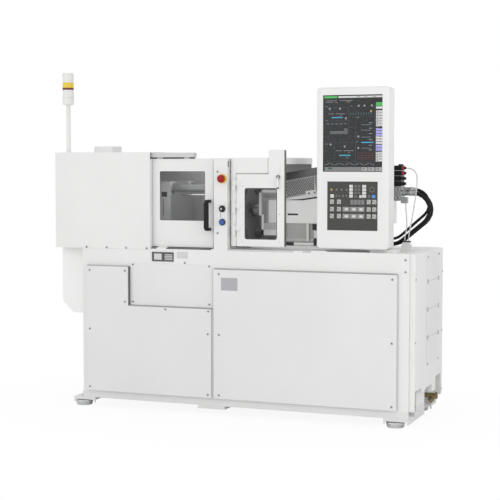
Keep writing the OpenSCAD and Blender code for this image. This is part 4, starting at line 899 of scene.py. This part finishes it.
nozzleSheets = {"front": 189.8, "panels": [((936, 948), (972, 1092)), ((936, 1094), (1043, 1132))]}
wedges = {  # upright plates, cut off above or below lines between two points (x, z)
    "traySkirt": {
        "low": (1066, 192, 1093.7), "high": (1330, 195.1, 1152), **whiteTrim,
        "above": [((1065, 1103.3), (1330, 1150.0))],
        "below": [((1066, 1094.4), (1147, 1099.6)), ((1147, 1099.6), (1330, 1127.6))]},
    "trayTab": {
        "low": (1173, 191.4, 1116), "high": (1231, 195.2, 1150), **whiteTrim,
        "above": [((1173, 1141), (1231, 1149))]},
    "trayBracket": {
        "low": (1157, 192, 1093.4), "high": (1330, 195.1, 1121), **carriageTrim,
        "above": [((1155, 1093.6), (1330, 1118))]},
    # painted shade: a black sheet behind the slot under the tray
    "trayGapShade": {
        "low": (1100, 196.4, 1093.4), "high": (1330, 198.4, 1142), **rubberTrim,
        "above": [((1065, 1093.8), (1330, 1140.5))]},
    "guardEndPlate": {
        "low": (1217, 201.2, 1150), "high": (1290, 204.4, 1217), **whiteTrim,
        "below": [((1224, 1149), (1217, 1218))]},
}
injectionUnit = {
    "bedStrip": {"finish": carriagePaint, "slot": "white_paint", "soft": 1.0, "strips": [
        ((1112, 187, 867), (1228, 195.2, 879))]},
    "saddleLine": {**frameTrim, "soft": 0.6, "strips": [((1112, 190, 879.2), (1228, 200.4, 885))]},
    "saddleFoot": {**railTrim, "soft": 0.6, "strips": [((1016, 196.5, 885), (1228, 200.4, 899))]},
    "ribPlate": {**whiteTrim, "soft": 0.6, "strips": [((1179, 188.4, 886), (1192, 190.2, 976))]},
    "barrelFrames": {**carriageTrim, "strips": [
        ((922, 188.4, 1014), (936, 190.1, 1146)), ((922, 188.4, 1132), (1043, 190.1, 1146))]},
    "barrelBracket": {**carriageTrim, "soft": 0.6, "strips": [
        ((936, 187.6, 913), (949, 190.2, 1018)), ((936, 187.6, 913), (1066, 190.2, 942))]},
    "barrelPlate": {**railTrim, "strips": [((949.5, 188.6, 942.5), (1066, 190.2, 975))]},
    # painted shade: a black insert deep in the carriage slot
    "carriageSlotShade": {"finish": guardDark, "slot": "black_plastic", "soft": 0.3, "strips": [
        ((1076.2, 197, 1017.2), (1132.4, 207.8, 1025.8))]},
    "slideShoes": {**rubberTrim, "soft": 1.0, "strips": [((1066, 186, 864), (1110, 196, 880))]},
    "cableHolders": {**blackTrim, "soft": 1.5, "strips": [
        ((1212, 184, 945), (1229, 200.5, 975)), ((1221, 178, 866), (1231, 196, 902))]},
    "holderPlate": {**whiteTrim, "soft": 0.6, "strips": [((1221, 186, 903), (1236, 189.8, 942))]},
    # painted shade: gray strips for the shade along the deck's front edge
    "deckEdgeShade": {**railTrim, "soft": 0.2, "strips": [
        ((826, -0.9, 840), (1175, 0.2, 848.2)), ((1223, -0.9, 840), (1267, 0.2, 848.2))]},
    "deckStrips": {**whiteTrim, "soft": 1.0, "strips": [
        ((1176, -1.4, 840), (1222, 10, 849.5)), ((1268, -1.4, 840), (1347, 9, 852))]},
}


def makeNozzleSheets():
    bm = bmesh.new()
    for low, high in nozzleSheets["panels"]:
        x, z = middle(low, high)
        sheet = perforatedSheet(high[0] - low[0], high[1] - low[1])
        join(bm, sheet, turnTo("front", (x, nozzleSheets["front"], z)))
    bmesh.ops.recalc_face_normals(bm, faces=bm.faces)
    finishPiece(bm, "nozzleSheets", [sheetGray], "machine")


def makeWedge(name, wedge):
    part = block(wedge["low"], wedge["high"])
    for side, lines in ((1, wedge.get("above", [])), (-1, wedge.get("below", []))):
        for (startX, startZ), (endX, endZ) in lines:
            away = Vector((startZ - endZ, 0, endX - startX)).normalized() * side
            cutOff(part, (startX, 0, startZ), away)
            bmesh.ops.holes_fill(part, edges=part.edges[:])
    bmesh.ops.recalc_face_normals(part, faces=part.faces)
    soften(part, part.edges[:], edgeSoft)
    finishPiece(part, name, [wedge["finish"]], "machine")


makeNozzleSheets()
for name, wedge in wedges.items():
    makeWedge(name, wedge)
makePieces(injectionUnit)
print("injection unit detailed")


# Hose side: hex nuts, crimped collars, red rings on the valves, cap of the junction box

hoseNuts = {"lines": [(282, 1132, 15.5), (322, 1132, 15.5), (302, 1150, 12)], "span": (1655, 1669),
            "corner": 1.6, "face": 0.86, "sides": 6}
hoseCollars = {"lines": [(282, 1132, 13.2, 10.2), (322, 1132, 13.2, 10.2), (302, 1150, 10, 7.1)],
               "span": (1703, 1722), "rings": 4, "mouth": 0.94, "groove": 0.93, "lead": 0.6, "crest": 1.2,
               "dip": 0.4, "steps": 20}
valveRings = {"levels": [1231, 1257], "y": 292, "radius": 9.2, "bore": 6.6, "span": (1650, 1657),
              "corner": 1.2, "steps": 16}
hoseSide = {
    "junctionCap": {**rubberTrim, "soft": 1.0, "strips": [((1668, 228, 890), (1708, 248, 896.5))]},
}


def nutProfile(radius):
    long = hoseNuts["span"][1] - hoseNuts["span"][0]
    face, corner = radius * hoseNuts["face"], hoseNuts["corner"]
    return [(0, 0), (face, 0), (radius, corner), (radius, long - corner), (face, long), (0, long)]


def collarProfile(radius, bore):  # crimp rings pressed round the collar
    long = hoseCollars["span"][1] - hoseCollars["span"][0]
    pitch = long / hoseCollars["rings"]
    groove = radius * hoseCollars["groove"]
    profile = [(bore, 0), (radius * hoseCollars["mouth"], 0)]
    for ring in range(hoseCollars["rings"]):
        foot, head = ring * pitch, (ring + 1) * pitch
        profile += [(radius, foot + hoseCollars["lead"]), (radius, head - hoseCollars["crest"]),
                    (groove, head - hoseCollars["dip"])]
    return profile + [(bore, long), (bore, 0)]


def ringProfile():
    long = valveRings["span"][1] - valveRings["span"][0]
    radius, bore, corner = valveRings["radius"], valveRings["bore"], valveRings["corner"]
    return [(bore, 0), (radius, 0), (radius, long - corner), (radius - corner, long), (bore, long), (bore, 0)]


def makeHoseNuts():
    bm = bmesh.new()
    for y, z, radius in hoseNuts["lines"]:
        nut = turned(nutProfile(radius), hoseNuts["sides"])
        join(bm, nut, turnTo("right", (hoseNuts["span"][0], y, z)), 0)
    for y, z, radius, bore in hoseCollars["lines"]:
        collar = turned(collarProfile(radius, bore), hoseCollars["steps"])
        join(bm, collar, turnTo("right", (hoseCollars["span"][0], y, z)), 0)
    for z in valveRings["levels"]:
        ring = turned(ringProfile(), valveRings["steps"])
        join(bm, ring, turnTo("right", (valveRings["span"][0], valveRings["y"], z)), 1)
    finishPiece(bm, "hoseNuts", [fittingSteel, collarRed], "machine")


makeHoseNuts()
makePieces(hoseSide)
print("hose side detailed")


# Outlet windows, blank plates, tower rings, studs of the left feet, painted shade in the recess at the right
# end

outletInsets = {"socket": ((417, 786), (460, 818)), "louvres": ((477, 786), (521, 818)), "slats": 4,
                "back": -1.3, "socketFront": -2.4, "slatFront": -2.6, "slatGaps": (0.4, 3.0), "soft": 0.3}
blankPlates = {"plates": [((797, 642), (886, 706), level("right_front_door", "front")),
                          ((545, 796), (606, 830), level("base_cabinet", "front"))],
               "thick": 0.7, "corner": 3, "soft": 0.2,
               "rivet": [(0, 1.5), (1.0, 1.4), (1.6, 0.9), (1.6, 0)], "rivetSteps": 10, "rivetIn": 4.5}
towerRings = {"centre": (-105, 50), "steps": 48, "band": 1667, "seams": [1660, 1744],
              "bandProfile": [(27, 0), (29.9, 0), (29.9, 11), (27, 11), (27, 0)],
              "seamProfile": [(27, 0), (30.15, 0), (30.25, 0.4), (30.15, 0.8), (27, 0.8), (27, 0)]}
footStuds = {"places": [(-18.5, 45.1), (-18.5, 534.9)],
             "nut": [(0, 0), (13, 0), (15, 1), (15, 8), (13, 9.5), (0, 9.5)], "nutSides": 6,
             "stud": [(0, 24), (6.4, 24), (7.6, 22.6), (7.6, 9), (0, 9)], "studSteps": 16}
recess = {
    # painted shade: a gray sheet on the recessed end wall and a darker strip along the cut's edge, for the
    # shade inside the recess
    "recessShadePlates": {"finish": sheetGray, "slot": "rail_gray", "soft": 0.3, "strips": [
        ((1763.9, 23, 62), (1764.8, 146.6, 181))]},
    "recessEdgeShade": {"finish": frameGray, "slot": "rail_gray", "soft": 0.3, "strips": [
        ((1764.2, 15.2, 62), (1789, 22.5, 181))]},
}


def makeOutletInsets():
    bm = bmesh.new()
    back, soft = outletInsets["back"], outletInsets["soft"]
    (left, bottom), (right, top) = outletInsets["socket"]
    join(bm, block((left, outletInsets["socketFront"], bottom), (right, back, top), soft))
    (left, bottom), (right, top) = outletInsets["louvres"]
    step = (top - bottom) / outletInsets["slats"]
    under, over = outletInsets["slatGaps"]
    for row in range(outletInsets["slats"]):
        foot, head = bottom + row * step + under, bottom + (row + 1) * step - over
        join(bm, block((left, outletInsets["slatFront"], foot), (right, back, head), soft))
    finishPiece(bm, "outletInsets", [plateSteel], "machine")


def makeBlankPlates():
    bm = bmesh.new()
    for order, (low, high, front) in enumerate(blankPlates["plates"]):
        width, height = high[0] - low[0], high[1] - low[1]
        x, z = middle(low, high)
        sheet = plate(width, height, blankPlates["thick"], blankPlates["corner"], blankPlates["soft"])
        join(bm, sheet, turnTo("front", (x, front, z)), order)
        out, up = width / 2 - blankPlates["rivetIn"], height / 2 - blankPlates["rivetIn"]
        for side, rise in ((-1, -1), (-1, 1), (1, -1), (1, 1)):
            rivet = turned(blankPlates["rivet"], blankPlates["rivetSteps"])
            join(bm, rivet, turnTo("front", (x + side * out, front, z + rise * up)), order)
    finishPiece(bm, "blankPlates", [plateDull, plateSteel], "machine")


def makeTowerRings():
    bm = bmesh.new()
    band = turned(towerRings["bandProfile"], towerRings["steps"])
    join(bm, band, Matrix.Translation((*towerRings["centre"], towerRings["band"])), 0)
    for seam in towerRings["seams"]:
        ring = turned(towerRings["seamProfile"], towerRings["steps"])
        join(bm, ring, Matrix.Translation((*towerRings["centre"], seam)), 1)
    finishPiece(bm, "towerRings", [lensRed, railGray], "machine")


def makeFootStuds():
    bm = bmesh.new()
    for x, y in footStuds["places"]:
        place = Matrix.Translation((x, y, level("foot_brackets", "top")))
        join(bm, turned(footStuds["nut"], footStuds["nutSides"]), place)
        join(bm, turned(footStuds["stud"], footStuds["studSteps"]), place)
    finishPiece(bm, "footStuds", [footSteel], "machine")


makeOutletInsets()
makeBlankPlates()
makeTowerRings()
makeFootStuds()
makePieces(recess)
print("plates, rings and studs made")


# Light, floor and background

studio = {
    "lamps": {
        "keyLamp": {"place": (-3.2, -4.6, 3.0), "size": 4.5, "power": 61},
        "frontLamp": {"place": (2.4, -5.4, 2.6), "size": 3.0, "power": 18},
        "fillLamp": {"place": (3.0, -1.8, 1.7), "size": 2.0, "power": 20},
    },
    "aim": (0, 0, 0.8), "sky": 0.72, "background": 1.0,
    "floor": {"half": 15, "gray": 0.93, "spread": (0.55, 0.8, 1), "nearWhite": 0.92, "nearEdge": 0.6},
}


def addLamp(name, lamp):
    data = bpy.data.lights.new(name, "AREA")
    data.size = lamp["size"]
    data.energy = lamp["power"]
    lampObject = bpy.data.objects.new(name, data)
    lampObject.location = lamp["place"]
    towards = Vector(studio["aim"]) - lampObject.location
    lampObject.rotation_euler = towards.to_track_quat("-Z", "Y").to_euler()
    scene.collection.objects.link(lampObject)


def mixShaders(tree, factor, first, second):
    mix = tree.nodes.new("ShaderNodeMixShader")
    tree.links.new(factor, mix.inputs["Fac"])
    tree.links.new(first, mix.inputs[1])
    tree.links.new(second, mix.inputs[2])
    return mix.outputs["Shader"]


def makeSky():  # soft white light, and plain white where it is seen or mirrored
    world = bpy.data.worlds.new("whiteStudio")
    world.use_nodes = True
    tree = world.node_tree
    tree.nodes.clear()
    whites = []
    for strength in (studio["sky"], studio["background"]):
        white = tree.nodes.new("ShaderNodeBackground")
        white.inputs["Color"].default_value = (1, 1, 1, 1)
        white.inputs["Strength"].default_value = strength
        whites.append(white.outputs["Background"])
    path = tree.nodes.new("ShaderNodeLightPath")
    seen = path.outputs["Is Camera Ray"]
    for other in ("Is Glossy Ray", "Is Transmission Ray"):
        most = tree.nodes.new("ShaderNodeMath")
        most.operation = "MAXIMUM"
        tree.links.new(seen, most.inputs[0])
        tree.links.new(path.outputs[other], most.inputs[1])
        seen = most.outputs["Value"]
    out = tree.nodes.new("ShaderNodeOutputWorld")
    tree.links.new(mixShaders(tree, seen, *whites), out.inputs["Surface"])
    return world


def makeFloorFinish():  # keeps the shadow near the machine and runs out to white
    material = bpy.data.materials.new("paleFloor")
    material.use_nodes = True
    tree = material.node_tree
    tree.nodes.clear()
    look = studio["floor"]
    matte = tree.nodes.new("ShaderNodeBsdfDiffuse")
    matte.inputs["Color"].default_value = (look["gray"], look["gray"], look["gray"], 1)
    plain = tree.nodes.new("ShaderNodeEmission")
    plain.inputs["Strength"].default_value = studio["background"]
    away = tree.nodes.new("ShaderNodeTexGradient")
    away.gradient_type = "SPHERICAL"
    tree.links.new(objectCoordinates(tree, look["spread"]), away.inputs["Vector"])
    near = (look["nearWhite"], look["nearWhite"], look["nearWhite"])
    share = ramp(tree, away.outputs["Fac"], [(0.0, (1, 1, 1)), (look["nearEdge"], near)])
    shown = mixShaders(tree, share, matte.outputs["BSDF"], plain.outputs["Emission"])
    path = tree.nodes.new("ShaderNodeLightPath")
    surface = mixShaders(tree, path.outputs["Is Camera Ray"], matte.outputs["BSDF"], shown)
    out = tree.nodes.new("ShaderNodeOutputMaterial")
    tree.links.new(surface, out.inputs["Surface"])
    return material


def makeFloor():
    bm = bmesh.new()
    bmesh.ops.create_grid(bm, x_segments=1, y_segments=1, size=studio["floor"]["half"])
    mesh = bpy.data.meshes.new("floor")
    bm.to_mesh(mesh)
    bm.free()
    mesh.materials.append(makeFloorFinish())
    floor = bpy.data.objects.new("floor", mesh)
    scene.collection.objects.link(floor)


for name, lamp in studio["lamps"].items():
    addLamp(name, lamp)
scene.world = makeSky()
makeFloor()
scene.view_settings.view_transform = "Standard"
print("studio lit")

bpy.context.view_layer.update()
